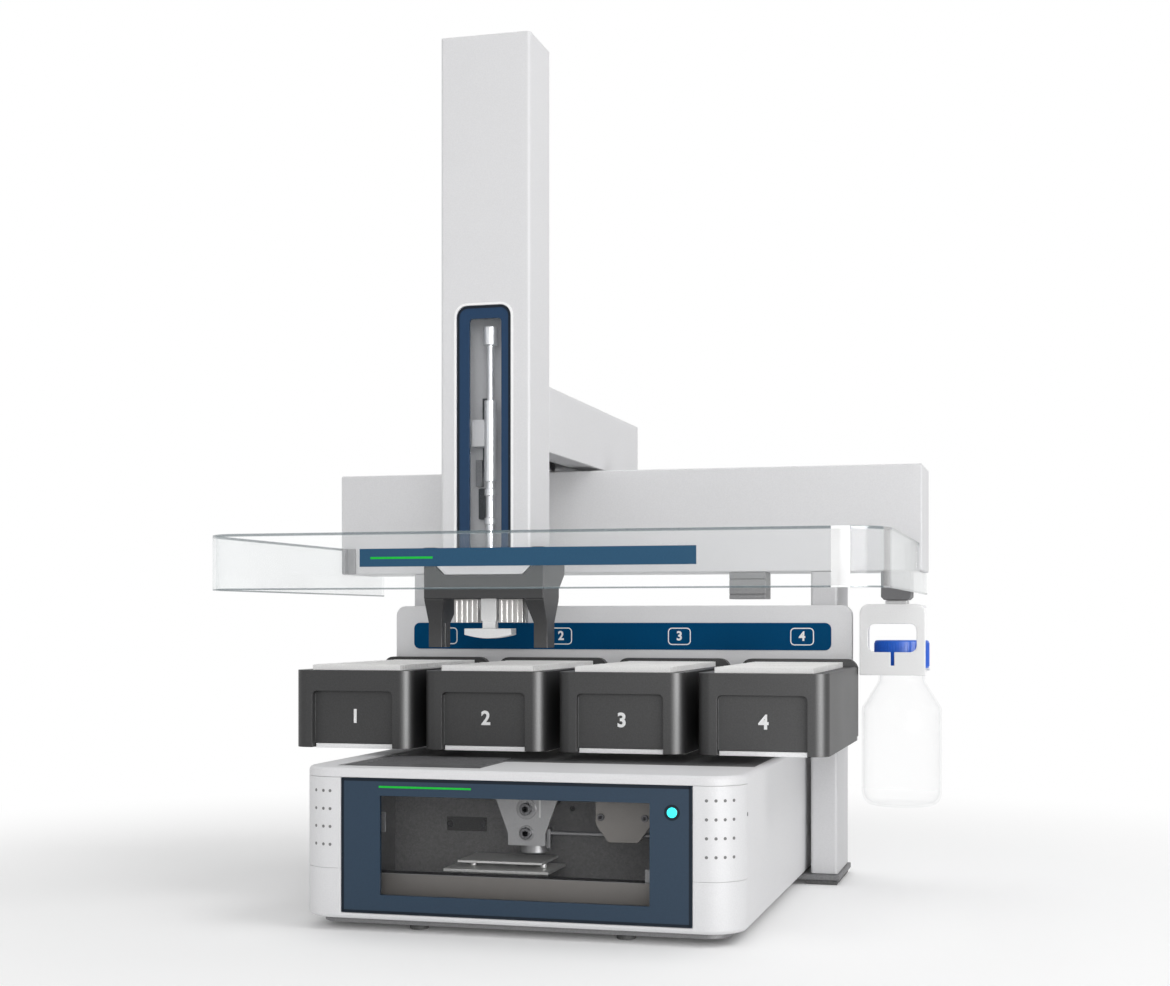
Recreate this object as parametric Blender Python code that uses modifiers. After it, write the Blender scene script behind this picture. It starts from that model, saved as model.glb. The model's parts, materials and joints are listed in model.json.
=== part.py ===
"""Card autosampler: a clamp module, a gantry with a gripper tower, four card racks and a wash bottle.

Bench frame used below: X to the right, Y from the front face of the base to the rear, Z up from
the table, X zero at the middle of the base. An empty then moves the whole object so that its
origin lies at the middle of its footprint.
"""

import math

import bmesh
import bpy
from mathutils import Matrix, Vector

# Shared clearances and wall sizes
FIT = 0.0003
OVERRUN = 0.004
WELD = 0.00001
CORNER_STEPS = 5
SMALL_STEPS = 3
ROUND_SIDES = 32

# Base housing
BASE_HALF = 0.1885
BASE_DEPTH = 0.446
BASE_BOTTOM = 0.010
BASE_TOP = 0.1357
BASE_WALL = 0.003
BASE_FRONT_WALL = 0.004
BASE_CORNER = 0.031
FLANGE_THICK = 0.0025
FLANGE_WIDTH = 0.018
PAN_INSET = 0.0135
FOOT_HEIGHT = 0.0042
FRONT_FOOT_INSET = 0.0991
FRONT_FOOT_Y = 0.026
FRONT_FOOT_RADIUS = 0.008
GROUND_PLATE_START = 0.3546
GROUND_PLATE_MARGIN = 0.0025
LEG_PAD_MARGIN = 0.004

# Front cover with its window
WING_BOTTOM = 0.0517
WING_DEPTH = 0.0318
COVER_TOP = 0.1274
COVER_TOP_GAP = 0.0006
CARRIER_THICK = 0.0025
FRAME_INSET = 0.0395
FRAME_BOTTOM = 0.0154
FRAME_THICK = 0.004
GLASS_INSET = 0.0343
GLASS_BOTTOM = 0.0308
GLASS_TOP = 0.1131
PANE_THICK = 0.0024
CARRIER_LEDGE = 0.002
CARRIER_LIFT = 0.0036
LAMP_INSET = 0.0161
LAMP_Z = 0.1061
LAMP_RADIUS = 0.0052

# Deck tray in the top of the base
TRAY_LEFT_INSET = 0.0255
TRAY_RIGHT_INSET = 0.0055
TRAY_FRONT = 0.0225
TRAY_JOG_X = -0.035
TRAY_JOG_Y = 0.0947
TRAY_REAR_INSET = 0.016
TRAY_DROP = 0.0006
TRAY_THICK = 0.0024
TRAY_FLANGE = 0.002

# Clamp chamber behind the window
CHAMBER_INSET = 0.0285
CHAMBER_FRONT = 0.012
CHAMBER_REAR = 0.150
CHAMBER_TOP = 0.126
SHEET = 0.0015
LEDGE_FRONT = 0.031
LEDGE_TOP = 0.0446
LEDGE_LIP = 0.014
TABLE_LEFT = -0.0785
TABLE_RIGHT = 0.0147
TABLE_FRONT = 0.055
TABLE_REAR = 0.110
TABLE_TOP = 0.0468
TABLE_PLATE = 0.0025
TABLE_INSET = 0.012
COVER_PLATE_TOP = 0.054
COVER_PLATE = 0.002
POST_RADIUS = 0.003
CLAMP_X = -0.0045
CLAMP_PLATE_Y = 0.0558
CLAMP_PLATE = 0.003
CLAMP_TOP_HALF = 0.031
CLAMP_FOOT_HALF = 0.0163
CLAMP_KNEE = 0.0785
CLAMP_BOTTOM = 0.0686
CLAMP_TOP = 0.118
CLAMP_HOLE_RADIUS = 0.0042
CLAMP_HOLE_RISE = 0.0205
NOZZLE_RADIUS = 0.012
NOZZLE_Y = 0.082
NOZZLE_BOTTOM = 0.0605
CLAMP_LINK_HALF = 0.0115
CLAMP_LINK_BOTTOM = 0.090
CLAMP_STROKE = 0.006
CLAMP_MOTOR_RADIUS = 0.020
CLAMP_MOTOR_LENGTH = 0.058
CLAMP_SHAFT_RADIUS = 0.004
CLAMP_SHAFT_Z = 0.098
ROD_RADIUS = 0.0021
ROD_Y = 0.0645
ROD_Z = 0.0788
ROD_STOP_THICK = 0.0032
ROD_STOP_HALF = 0.004
ROD_STOP_DROP = 0.0125
SHUTTLE_LEFT = 0.0558
SHUTTLE_RIGHT = 0.1032
SHUTTLE_BOTTOM = 0.0737
SHUTTLE_TOP = 0.112
SHUTTLE_KNEE = 0.0885
SHUTTLE_FOOT_INSET = 0.011
SHUTTLE_BEARING = 0.009

# Rear panel and mains inlet
REAR_PANEL_THICK = 0.003
INLET_INSET = 0.0685
INLET_Z = 0.060
INLET_WIDTH = 0.0275
INLET_HEIGHT = 0.020
INLET_DEPTH = 0.024
INLET_FLANGE = 0.004
INLET_WALL = 0.002

# Gantry
LEG_GAP = 0.0055
LEG_WIDTH = 0.0265
LEG_WALL = 0.003
LEG_EDGE = 0.003
GANTRY_FRONT = 0.3616
GANTRY_REAR = 0.4508
BEAM_PAST_LEG = 0.0815
BEAM_PAST_RACKS = 0.0581
BEAM_BOTTOM = 0.3066
BEAM_TOP = 0.4105
BEAM_WALL = 0.003
BEAM_REAR_THICK = 0.003
CORE_FRONT = 0.370
CORE_REAR = 0.440
CORE_HEIGHT = 0.040
CORE_WALL = 0.006
CORE_END_GAP = 0.003
RAIL_Y = 0.4095
RAIL_WIDTH = 0.015
RAIL_HEIGHT = 0.010
RAIL_START_INSET = 0.050
RAIL_END_INSET = 0.012
X_MOTOR_SIDE = 0.042
X_MOTOR_INSET = 0.005
X_TRAVEL_LEFT = 0.150
X_TRAVEL_RIGHT = 0.285
CARRIAGE_HALF = 0.030
CARRIAGE_DEPTH = 0.035
CARRIAGE_HEIGHT = 0.032
RAIL_COVER = 0.008
NECK_HALF = 0.0135
NECK_DEPTH = 0.011
NECK_GAP = 0.002

# Arm and tower
TOWER_LEFT = -0.1085
TOWER_RIGHT = -0.0244
TOWER_FRONT = 0.132
TOWER_REAR = 0.1939
TOWER_BOTTOM = 0.2995
TOWER_TOP = 0.7828
TOWER_WALL = 0.0028
TOWER_EDGE = 0.003
TOWER_BACK_THICK = 0.003
SPINE_FRONT = 0.170
SPINE_HALF = 0.030
COLLAR_HALF = 0.04425
COLLAR_FRONT = 0.1264
COLLAR_TOP = 0.314
COLLAR_CHAMFER = 0.008
COLLAR_FLOOR = 0.003
SLOT_LEFT = -0.0934
SLOT_RIGHT = -0.0424
SLOT_BOTTOM = 0.3148
SLOT_TOP = 0.5408
SLOT_CORNER = 0.010
TOWER_GLASS_LEFT = -0.0816
TOWER_GLASS_RIGHT = -0.0515
TOWER_GLASS_BOTTOM = 0.3225
TOWER_GLASS_TOP = 0.529
TOWER_GLASS_CORNER = 0.003
TOWER_FRAME_RECESS = 0.0008
TOWER_FRAME_THICK = 0.0032
ARM_TAIL = 0.0539
ARM_BOTTOM = 0.4138
ARM_TOP = 0.4747
ARM_WALL = 0.0025
ARM_PLATE = 0.003
ARM_BEAM_WEB = 0.006
ARM_BEAM_SIDE = 0.004
ARM_BEAM_TOP = 0.452
Y_RAIL_HALF = 0.008
HEAD_HALF = 0.024
HEAD_BOTTOM = 0.4243
HEAD_TOP = 0.436
Y_TRAVEL_FRONT = 0.085
Y_TRAVEL_REAR = 0.140
Z_MOTOR_SIDE = 0.042
Z_MOTOR_BOTTOM = 0.728
Z_MOTOR_HEIGHT = 0.044

# Z shaft and gripper
SHAFT_Y = 0.148
SHAFT_NUT_RADIUS = 0.0067
SHAFT_NUT_BOTTOM = 0.5069
SHAFT_NUT_TOP = 0.5232
SHAFT_THIN_RADIUS = 0.00325
SHAFT_TUBE_RADIUS = 0.00575
SHAFT_TUBE_BOTTOM = 0.3838
SHAFT_TUBE_TOP = 0.4570
SHAFT_LOW_RADIUS = 0.0042
SHAFT_COLLAR_RADIUS = 0.0055
SHAFT_COLLAR_HEIGHT = 0.006
SHAFT_COLLAR_BOTTOM = 0.345
SHAFT_UPPER_COLLAR = 0.371
GUIDE_BOTTOM = 0.416
GUIDE_TOP = 0.440
GUIDE_WIDTH = 0.012
BUSH_BOTTOM = 0.312
BUSH_HEIGHT = 0.008
BUSH_HALF = 0.016
BUSH_FRONT = 0.138
GRIPPER_HALF = 0.056
GRIPPER_FRONT = 0.126
GRIPPER_REAR = 0.196
GRIPPER_SLOPE_TOP = 0.3005
GRIPPER_SLOPE_BOTTOM = 0.2867
GRIPPER_WAIST_REAR = 0.177
GRIPPER_TOP = 0.324
GRIPPER_BAR_BOTTOM = 0.278
BUMP_INNER = 0.0454
LEG_GAP_HALF = 0.0434
GUIDE_LEG_FRONT = 0.1387
GUIDE_LEG_REAR = 0.162
GUIDE_LEG_BOTTOM = 0.234
GUIDE_LEG_FLARE = 0.0055
GUIDE_LEG_TAPER = 0.022
GUIDE_LEG_ROOT = 0.002
GUIDE_LEG_STEP = 0.001
GUIDE_GROOVE = 0.0016
GUIDE_GROOVE_DEPTH = 0.002
JAW_INNER = 0.0102
JAW_OUTER = 0.0325
JAW_FRONT = 0.141
JAW_REAR = 0.158
JAW_BOTTOM = 0.2566
JAW_SLOT = 0.0018
JAW_SLOT_HEIGHT = 0.012
JAW_RIBS = 4
JAW_RIB_DEPTH = 0.0012
STEM_HALF = 0.0072
STEM_FRONT = 0.142
STEM_REAR = 0.152
STEM_BURIED = 0.004
STEM_STEP = 0.258
STEM_NECK_HALF = 0.0062
STEM_NECK_INSET = 0.001
STEM_BORE_HEIGHT = 0.014
FOOT_HALF_WIDTH = 0.0221
FOOT_FRONT = 0.139
FOOT_REAR = 0.155
FOOT_BOTTOM = 0.2423
FOOT_SIDE = 0.2455
FOOT_TOP = 0.2512

# Racks, panel and cards
RACK_WIDTH = 0.1134
RACK_GAP = 0.0114
RACK_ROW_SHIFT = 0.002
RACK_COUNT = 4
RACK_FRONT = 0.1193
RACK_REAR = 0.350
RACK_BOTTOM = 0.1429
RACK_RIM = 0.2133
RACK_CORNER = 0.0117
RACK_REAR_CORNER = 0.010
RACK_REAR_TOP = 0.221
RACK_REAR_WALL = 0.009
RECESS_HALF = 0.0388
RECESS_TOP = 0.1945
RECESS_DEPTH = 0.007
RECESS_CORNER = 0.004
RACK_FRONT_WALL = 0.0036
CHANNEL_TOP = 0.1466
RACK_SKIRT = 0.0125
POCKET_FLOOR = 0.1639
CARD_WIDTH = 0.086
CARD_HEIGHT = 0.054
CARD_SLACK = 0.0005
TONGUE_HALF = 0.038
TONGUE_SIDE_INSET = 0.0007
TONGUE_BOTTOM = 0.1422
PANEL_INSET = 0.0082
PANEL_TOP = 0.2732
PANEL_CORNER = 0.010
PANEL_SKIN = 0.003
PANEL_RIM = 0.005
LABEL_INSET = 0.020
LABEL_BOTTOM = 0.2292
LABEL_TOP = 0.2560
LABEL_CORNER = 0.006
FILM = 0.0004

# Shield
SHIELD_INSET = 0.0028
SHIELD_FRONT = 0.0333
SHIELD_OVERHANG = 0.0192
SHIELD_BOTTOM = 0.2848
SHIELD_TOP = 0.3338
SHIELD_WALL = 0.003
SHIELD_CORNER = 0.039
SHIELD_CORNER_STEPS = 8
STRIP_HALF = 0.146
STRIP_BOTTOM = 0.3041
STRIP_TOP = 0.3194
BRACKET_WIDTH = 0.0105
BRACKET_THICK = 0.003
BRACKET_LENGTH = 0.012

# Blocks under the beam and the wash bottle
READER_LEFT = 0.113
READER_RIGHT = 0.1494
READER_BOTTOM = 0.2797
READER_DEPTH = 0.032
READER_RIDGES = 3
READER_GROOVE = 0.0012
HANGER_INSET = 0.0111
HANGER_WIDTH = 0.0285
HANGER_BOTTOM = 0.2783
HANGER_DEPTH = 0.038
HOLDER_OVERHANG = 0.0045
HOLDER_WIDTH = 0.0624
HOLDER_FRONT = 0.3401
HOLDER_REAR = 0.404
HOLDER_BOTTOM = 0.2057
HOLDER_TOP = 0.2742
HOLDER_WALL = 0.003
HOLDER_CORNER = 0.009
HOLDER_FLOOR_TOP = 0.2118
HOLDER_WINDOW_SIDE = 0.0083
HOLDER_WINDOW_BOTTOM = 0.2280
HOLDER_WINDOW_TOP = 0.2552
HOLDER_WINDOW_CORNER = 0.006
HOLDER_SLOT_WIDTH = 0.0034
HOLDER_SLOT_BOTTOM = 0.2150
HOLDER_NECK_INSET = 0.004
BOTTLE_INSET = 0.0210
BOTTLE_Y = 0.3791
BOTTLE_RADIUS = 0.03885
BOTTLE_BOTTOM = 0.0779
BOTTLE_SHOULDER = 0.1688
BOTTLE_NECK_FOOT = 0.1971
BOTTLE_NECK_RADIUS = 0.0226
BOTTLE_NECK_TOP = 0.2345
BOTTLE_WALL = 0.0018
BOTTLE_EDGE = 0.009
CAP_RADIUS = 0.0267
CAP_BOTTOM = 0.2121
CAP_TOP = 0.2391
CAP_WALL = 0.0024
BOTTLE_STEPS = 40

# Worked out from the sizes above
BASE_INNER = BASE_HALF - BASE_WALL
FRONT_FOOT_X = BASE_HALF - FRONT_FOOT_INSET
FRAME_HALF = BASE_HALF - FRAME_INSET
GLASS_HALF = FRAME_HALF - GLASS_INSET
LAMP_X = FRAME_HALF - LAMP_INSET
TRAY_LEFT = TRAY_LEFT_INSET - BASE_HALF
TRAY_RIGHT = BASE_HALF - TRAY_RIGHT_INSET
TRAY_REAR = BASE_DEPTH - TRAY_REAR_INSET
CHAMBER_HALF = BASE_HALF - CHAMBER_INSET
INLET_X = BASE_HALF - INLET_INSET
LEG_INNER = BASE_HALF + LEG_GAP
LEG_OUTER = LEG_INNER + LEG_WIDTH
RACK_PITCH = RACK_WIDTH + RACK_GAP
RACK_ROW_HALF = (RACK_PITCH * (RACK_COUNT - 1) + RACK_WIDTH) / 2
RACK_LEFT = -RACK_ROW_HALF - RACK_ROW_SHIFT
PANEL_HALF = RACK_ROW_HALF - PANEL_INSET
LABEL_HALF = PANEL_HALF - LABEL_INSET
BEAM_HALF = max(LEG_OUTER + BEAM_PAST_LEG, RACK_ROW_HALF + BEAM_PAST_RACKS)
RAIL_START = RAIL_START_INSET - BEAM_HALF
RAIL_END = BEAM_HALF - RAIL_END_INSET
X_MOTOR_LEFT = X_MOTOR_INSET - BEAM_HALF
SHIELD_HALF = BEAM_HALF - SHIELD_INSET
SHIELD_REAR = GANTRY_REAR + SHIELD_OVERHANG
HANGER_RIGHT = BEAM_HALF - HANGER_INSET
HANGER_LEFT = HANGER_RIGHT - HANGER_WIDTH
HOLDER_RIGHT = BEAM_HALF + HOLDER_OVERHANG
HOLDER_LEFT = HOLDER_RIGHT - HOLDER_WIDTH
HOLDER_WINDOW_LEFT = HOLDER_LEFT + HOLDER_WINDOW_SIDE
HOLDER_WINDOW_RIGHT = HOLDER_RIGHT - HOLDER_WINDOW_SIDE
BOTTLE_X = BEAM_HALF - BOTTLE_INSET
ARM_REAR = RAIL_Y + Y_TRAVEL_FRONT + ARM_TAIL
TOWER_X = (TOWER_LEFT + TOWER_RIGHT) / 2
TOWER_HALF = (TOWER_RIGHT - TOWER_LEFT) / 2
OBJECT_LEFT = -BEAM_HALF
OBJECT_RIGHT = BOTTLE_X + BOTTLE_RADIUS
OBJECT_FRONT = 0
OBJECT_REAR = ARM_REAR
ORIGIN = Vector(((OBJECT_LEFT + OBJECT_RIGHT) / 2, (OBJECT_FRONT + OBJECT_REAR) / 2, 0))

for thing in list(bpy.data.objects):
    bpy.data.objects.remove(thing, do_unlink=True)
PARTS = bpy.data.collections.new("autosampler")
CUTTERS = bpy.data.collections.new("cutters")
bpy.context.scene.collection.children.link(PARTS)
bpy.context.scene.collection.children.link(CUTTERS)


def finish(name, colour, roughness, metallic=0.0, alpha=1.0):
    """A Principled BSDF material in one colour."""
    material = bpy.data.materials.new(name)
    material.use_nodes = True
    shader = material.node_tree.nodes["Principled BSDF"]
    shader.inputs["Base Color"].default_value = (*colour, 1.0)
    shader.inputs["Roughness"].default_value = roughness
    shader.inputs["Metallic"].default_value = metallic
    shader.inputs["Alpha"].default_value = alpha
    material.diffuse_color = (*colour, alpha)
    return material


HOUSING = finish("painted housing", (0.80, 0.80, 0.81), 0.42)
DARK_STEEL = finish("dark painted steel", (0.10, 0.10, 0.11), 0.55, 0.3)
RUBBER = finish("rubber", (0.03, 0.03, 0.03), 0.85)
SLATE_BLUE = finish("blue trim", (0.035, 0.075, 0.13), 0.38)
DEEP_BLUE = finish("blue film", (0.0, 0.055, 0.14), 0.35)
GLASS = finish("tinted pane", (0.10, 0.11, 0.12), 0.05, 0.0, 0.35)
ACRYLIC = finish("clear acrylic", (0.85, 0.92, 0.93), 0.04, 0.0, 0.25)
LAMP = finish("lamp", (0.05, 0.95, 1.0), 0.3)
RACK_PLASTIC = finish("rack plastic", (0.065, 0.065, 0.067), 0.45)
CARD = finish("card", (0.88, 0.87, 0.84), 0.9)
STEEL = finish("machined steel", (0.55, 0.55, 0.56), 0.3, 1.0)
ALUMINIUM = finish("aluminium", (0.62, 0.63, 0.65), 0.38, 1.0)
GREY_METAL = finish("grey coated metal", (0.30, 0.29, 0.28), 0.5, 0.5)
GRIPPER_GREY = finish("gripper plastic", (0.075, 0.075, 0.078), 0.5)
WHITE_PLASTIC = finish("white plastic", (0.86, 0.86, 0.86), 0.35)
BOTTLE_PLASTIC = finish("bottle plastic", (0.90, 0.92, 0.94), 0.25, 0.0, 0.3)
CAP_BLUE = finish("cap blue", (0.02, 0.10, 0.50), 0.4)
BLACK = finish("black moulding", (0.02, 0.02, 0.02), 0.5)


def empty(name, place, parent=None):
    """An empty at a place of the bench frame, which carries what moves with it."""
    holder = bpy.data.objects.new(name, None)
    PARTS.objects.link(holder)
    holder["place"] = tuple(place)
    holder.parent = parent
    start = Vector(parent["place"]) if parent else Vector()
    holder.location = Vector(place) - start
    return holder


FRONT_TURN = Matrix(((1, 0, 0), (0, 0, -1), (0, 1, 0)))
SIDE_TURN = Matrix(((0, 0, 1), (1, 0, 0), (0, 1, 0)))
BENCH = bpy.data.objects.new("bench_frame", None)
PARTS.objects.link(BENCH)
BENCH["place"] = (0.0, 0.0, 0.0)
BENCH.location = -ORIGIN


def add(name, mesh, place, material=None, parent=None, cutter=False):
    """Puts a mesh or curve in the scene at a place of the bench frame."""
    item = bpy.data.objects.new(name, mesh)
    (CUTTERS if cutter else PARTS).objects.link(item)
    parent = parent or BENCH
    item.parent = parent
    item.location = Vector(place) - Vector(parent["place"])
    if material:
        mesh.materials.append(material)
    if cutter:
        item.hide_render = True
        item.display_type = "WIRE"
    return item


def edges_along(bm, axis, sides):
    """The edges parallel to one axis whose middle lies on the named sides of the shape's centre."""
    found = []
    for edge in bm.edges:
        run = edge.verts[1].co - edge.verts[0].co
        middle = (edge.verts[1].co + edge.verts[0].co) / 2
        if abs(run[axis]) < run.length * math.cos(math.radians(1)):
            continue
        if all(middle[side] * sign > 0 for side, sign in sides.items()):
            found.append(edge)
    return found


def block(name, low, high, material=None, parent=None, rounds=(), cutter=False):
    """A box between two corners of the bench frame, with some of its edges rounded.

    Each entry of rounds is (axis of the edges, their sides, radius, steps).
    """
    low = Vector(low)
    high = Vector(high)
    bm = bmesh.new()
    bmesh.ops.create_cube(bm, size=1)
    bmesh.ops.scale(bm, vec=high - low, verts=bm.verts)
    for axis, sides, radius, steps in rounds:
        bmesh.ops.bevel(
            bm,
            geom=edges_along(bm, axis, sides),
            offset=radius,
            segments=steps,
            profile=0.5,
            affect="EDGES",
        )
    mesh = bpy.data.meshes.new(name)
    bm.to_mesh(mesh)
    bm.free()
    return add(name, mesh, (low + high) / 2, material, parent, cutter)


def cylinder(name, start, end, radius, material=None, parent=None, cutter=False, sides=ROUND_SIDES):
    """A round bar between two points of the bench frame."""
    start = Vector(start)
    end = Vector(end)
    bm = bmesh.new()
    bmesh.ops.create_cone(
        bm,
        cap_ends=True,
        segments=sides,
        radius1=radius,
        radius2=radius,
        depth=(end - start).length,
    )
    turn = Vector((0, 0, 1)).rotation_difference(end - start).to_matrix()
    bmesh.ops.rotate(bm, matrix=turn, verts=bm.verts)
    mesh = bpy.data.meshes.new(name)
    bm.to_mesh(mesh)
    bm.free()
    mesh.shade_smooth()
    mesh.set_sharp_from_angle(angle=math.radians(40))
    return add(name, mesh, (start + end) / 2, material, parent, cutter)


def plate(name, outline, start, end, material=None, parent=None, cutter=False, across=False):
    """A flat shape with its outline in X and Z, from one Y to another.

    With across, the outline is in Y and Z and the shape runs from one X to another.
    """
    curve = bpy.data.curves.new(name, "CURVE")
    curve.dimensions = "2D"
    curve.fill_mode = "BOTH"
    curve.extrude = (end - start) / 2
    line = curve.splines.new("POLY")
    line.points.add(len(outline) - 1)
    for point, (x, z) in zip(line.points, outline):
        point.co = (x, z, 0, 1)
    line.use_cyclic_u = True
    flat = bpy.data.objects.new(name + "_outline", curve)
    CUTTERS.objects.link(flat)
    bpy.context.view_layer.update()
    graph = bpy.context.evaluated_depsgraph_get()
    mesh = bpy.data.meshes.new_from_object(flat.evaluated_get(graph))
    bpy.data.objects.remove(flat, do_unlink=True)
    bm = bmesh.new()
    bm.from_mesh(mesh)
    bmesh.ops.remove_doubles(bm, verts=bm.verts, dist=WELD)
    turn = SIDE_TURN if across else FRONT_TURN
    bmesh.ops.rotate(bm, matrix=turn, verts=bm.verts)
    bmesh.ops.recalc_face_normals(bm, faces=bm.faces)
    bm.to_mesh(mesh)
    bm.free()
    middle = (start + end) / 2
    place = (middle, 0, 0) if across else (0, middle, 0)
    return add(name, mesh, place, material, parent, cutter)


def turned(name, profile, place, material, parent=None, steps=ROUND_SIDES, cutter=False):
    """A turned shape: a profile of (radius, height) points, outer side from the top down."""
    mesh = bpy.data.meshes.new(name)
    bm = bmesh.new()
    points = [bm.verts.new((radius, 0, height)) for radius, height in profile]
    for first, second in zip(points, points[1:]):
        bm.edges.new((first, second))
    bm.to_mesh(mesh)
    bm.free()
    item = add(name, mesh, place, material, parent, cutter)
    screw = item.modifiers.new("turn", "SCREW")
    screw.steps = steps
    screw.render_steps = steps
    screw.use_merge_vertices = True
    screw.merge_threshold = WELD
    screw.use_smooth_shade = True
    return item


def boolean(item, other, operation):
    """Applies one more cut or join to a piece."""
    change = item.modifiers.new(operation.lower(), "BOOLEAN")
    change.object = other
    change.operation = operation


def cut_block(item, low, high, rounds=()):
    """Takes a box out of a piece."""
    count = len(item.modifiers)
    tool = block(f"{item.name}_cut{count}", low, high, None, item.parent, rounds, True)
    boolean(item, tool, "DIFFERENCE")


def join_block(item, low, high, rounds=()):
    """Joins a box to a piece."""
    count = len(item.modifiers)
    tool = block(f"{item.name}_add{count}", low, high, None, item.parent, rounds, True)
    boolean(item, tool, "UNION")


def cut_round(item, start, end, radius):
    """Bores a round hole in a piece."""
    count = len(item.modifiers)
    tool = cylinder(f"{item.name}_bore{count}", start, end, radius, None, item.parent, True)
    boolean(item, tool, "DIFFERENCE")


def join_round(item, start, end, radius):
    """Joins a round bar to a piece."""
    count = len(item.modifiers)
    tool = cylinder(f"{item.name}_bar{count}", start, end, radius, None, item.parent, True)
    boolean(item, tool, "UNION")


def upright_rounds(radius, steps=CORNER_STEPS):
    """Rounds the two front corners of a box seen from above."""
    return [(2, {1: -1}, radius, steps)]


def top_rounds(radius, steps=CORNER_STEPS):
    """Rounds the two upper corners of a box seen from the front."""
    return [(1, {2: 1}, radius, steps)]


# Base: floor, ground plate and feet
def make_base_floor():
    pan_bottom = FOOT_HEIGHT + FIT
    pan_top = BASE_BOTTOM - FIT
    block(
        "base_pan",
        (-BASE_HALF + PAN_INSET, PAN_INSET, pan_bottom),
        (BASE_HALF - PAN_INSET, GROUND_PLATE_START - FIT, pan_top),
        DARK_STEEL,
        None,
        upright_rounds(BASE_CORNER - PAN_INSET),
    )
    reach = LEG_OUTER + GROUND_PLATE_MARGIN
    block(
        "ground_plate",
        (-reach, GROUND_PLATE_START, pan_bottom),
        (reach, GANTRY_REAR + GROUND_PLATE_MARGIN, pan_top),
        DARK_STEEL,
    )
    for side, sign in (("left", -1), ("right", 1)):
        x = sign * FRONT_FOOT_X
        cylinder(
            f"foot_front_{side}",
            (x, FRONT_FOOT_Y, 0),
            (x, FRONT_FOOT_Y, FOOT_HEIGHT),
            FRONT_FOOT_RADIUS,
            RUBBER,
        )
        inner = sign * (LEG_INNER - LEG_PAD_MARGIN)
        outer = sign * LEG_OUTER
        block(
            f"foot_rear_{side}",
            (min(inner, outer), GANTRY_FRONT - LEG_PAD_MARGIN, 0),
            (max(inner, outer), GANTRY_REAR, FOOT_HEIGHT),
            RUBBER,
        )


# Base: painted housing with the openings for the cover and the tray
def make_base_shell():
    shell = block(
        "base_shell",
        (-BASE_HALF, 0, BASE_BOTTOM),
        (BASE_HALF, BASE_DEPTH, BASE_TOP),
        HOUSING,
        None,
        upright_rounds(BASE_CORNER, 2 * CORNER_STEPS),
    )
    inner = BASE_INNER
    cut_block(
        shell,
        (-inner, BASE_FRONT_WALL, BASE_BOTTOM + FLANGE_THICK),
        (inner, BASE_DEPTH + OVERRUN, BASE_TOP - BASE_WALL),
        upright_rounds(BASE_CORNER - BASE_WALL, 2 * CORNER_STEPS),
    )
    cut_block(
        shell,
        (-inner + FLANGE_WIDTH, BASE_FRONT_WALL + FLANGE_WIDTH, BASE_BOTTOM - OVERRUN),
        (inner - FLANGE_WIDTH, BASE_DEPTH - FLANGE_WIDTH, BASE_BOTTOM + FLANGE_THICK + OVERRUN),
    )
    cut_block(
        shell,
        (-BASE_HALF - OVERRUN, -OVERRUN, WING_BOTTOM),
        (BASE_HALF + OVERRUN, WING_DEPTH, COVER_TOP + COVER_TOP_GAP),
    )
    cut_block(
        shell,
        (-FRAME_HALF - FIT, -OVERRUN, FRAME_BOTTOM - FIT),
        (FRAME_HALF + FIT, WING_DEPTH, WING_BOTTOM + OVERRUN),
    )
    cut_block(
        shell,
        (TRAY_LEFT, TRAY_FRONT, BASE_TOP - BASE_WALL - OVERRUN),
        (TRAY_JOG_X, TRAY_REAR, BASE_TOP + OVERRUN),
    )
    cut_block(
        shell,
        (TRAY_JOG_X - OVERRUN, TRAY_JOG_Y, BASE_TOP - BASE_WALL - OVERRUN),
        (TRAY_RIGHT, TRAY_REAR, BASE_TOP + OVERRUN),
    )


# Base: dark tray that closes the top
def make_deck_tray():
    top = BASE_TOP - TRAY_DROP
    flange_top = BASE_TOP - BASE_WALL - FIT
    flange_bottom = flange_top - TRAY_THICK
    tray = block(
        "deck_tray",
        (TRAY_LEFT + FIT, TRAY_FRONT + FIT, flange_bottom),
        (TRAY_JOG_X - FIT, TRAY_REAR - FIT, top),
        DARK_STEEL,
    )
    join_block(
        tray,
        (TRAY_JOG_X - OVERRUN, TRAY_JOG_Y + FIT, flange_bottom),
        (TRAY_RIGHT - FIT, TRAY_REAR - FIT, top),
    )
    join_block(
        tray,
        (TRAY_LEFT - TRAY_FLANGE, TRAY_FRONT - TRAY_FLANGE, flange_bottom),
        (TRAY_JOG_X + TRAY_FLANGE, TRAY_REAR + TRAY_FLANGE, flange_top),
    )
    join_block(
        tray,
        (TRAY_JOG_X - OVERRUN, TRAY_JOG_Y - TRAY_FLANGE, flange_bottom),
        (TRAY_RIGHT + TRAY_FLANGE, TRAY_REAR + TRAY_FLANGE, flange_top),
    )


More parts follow.
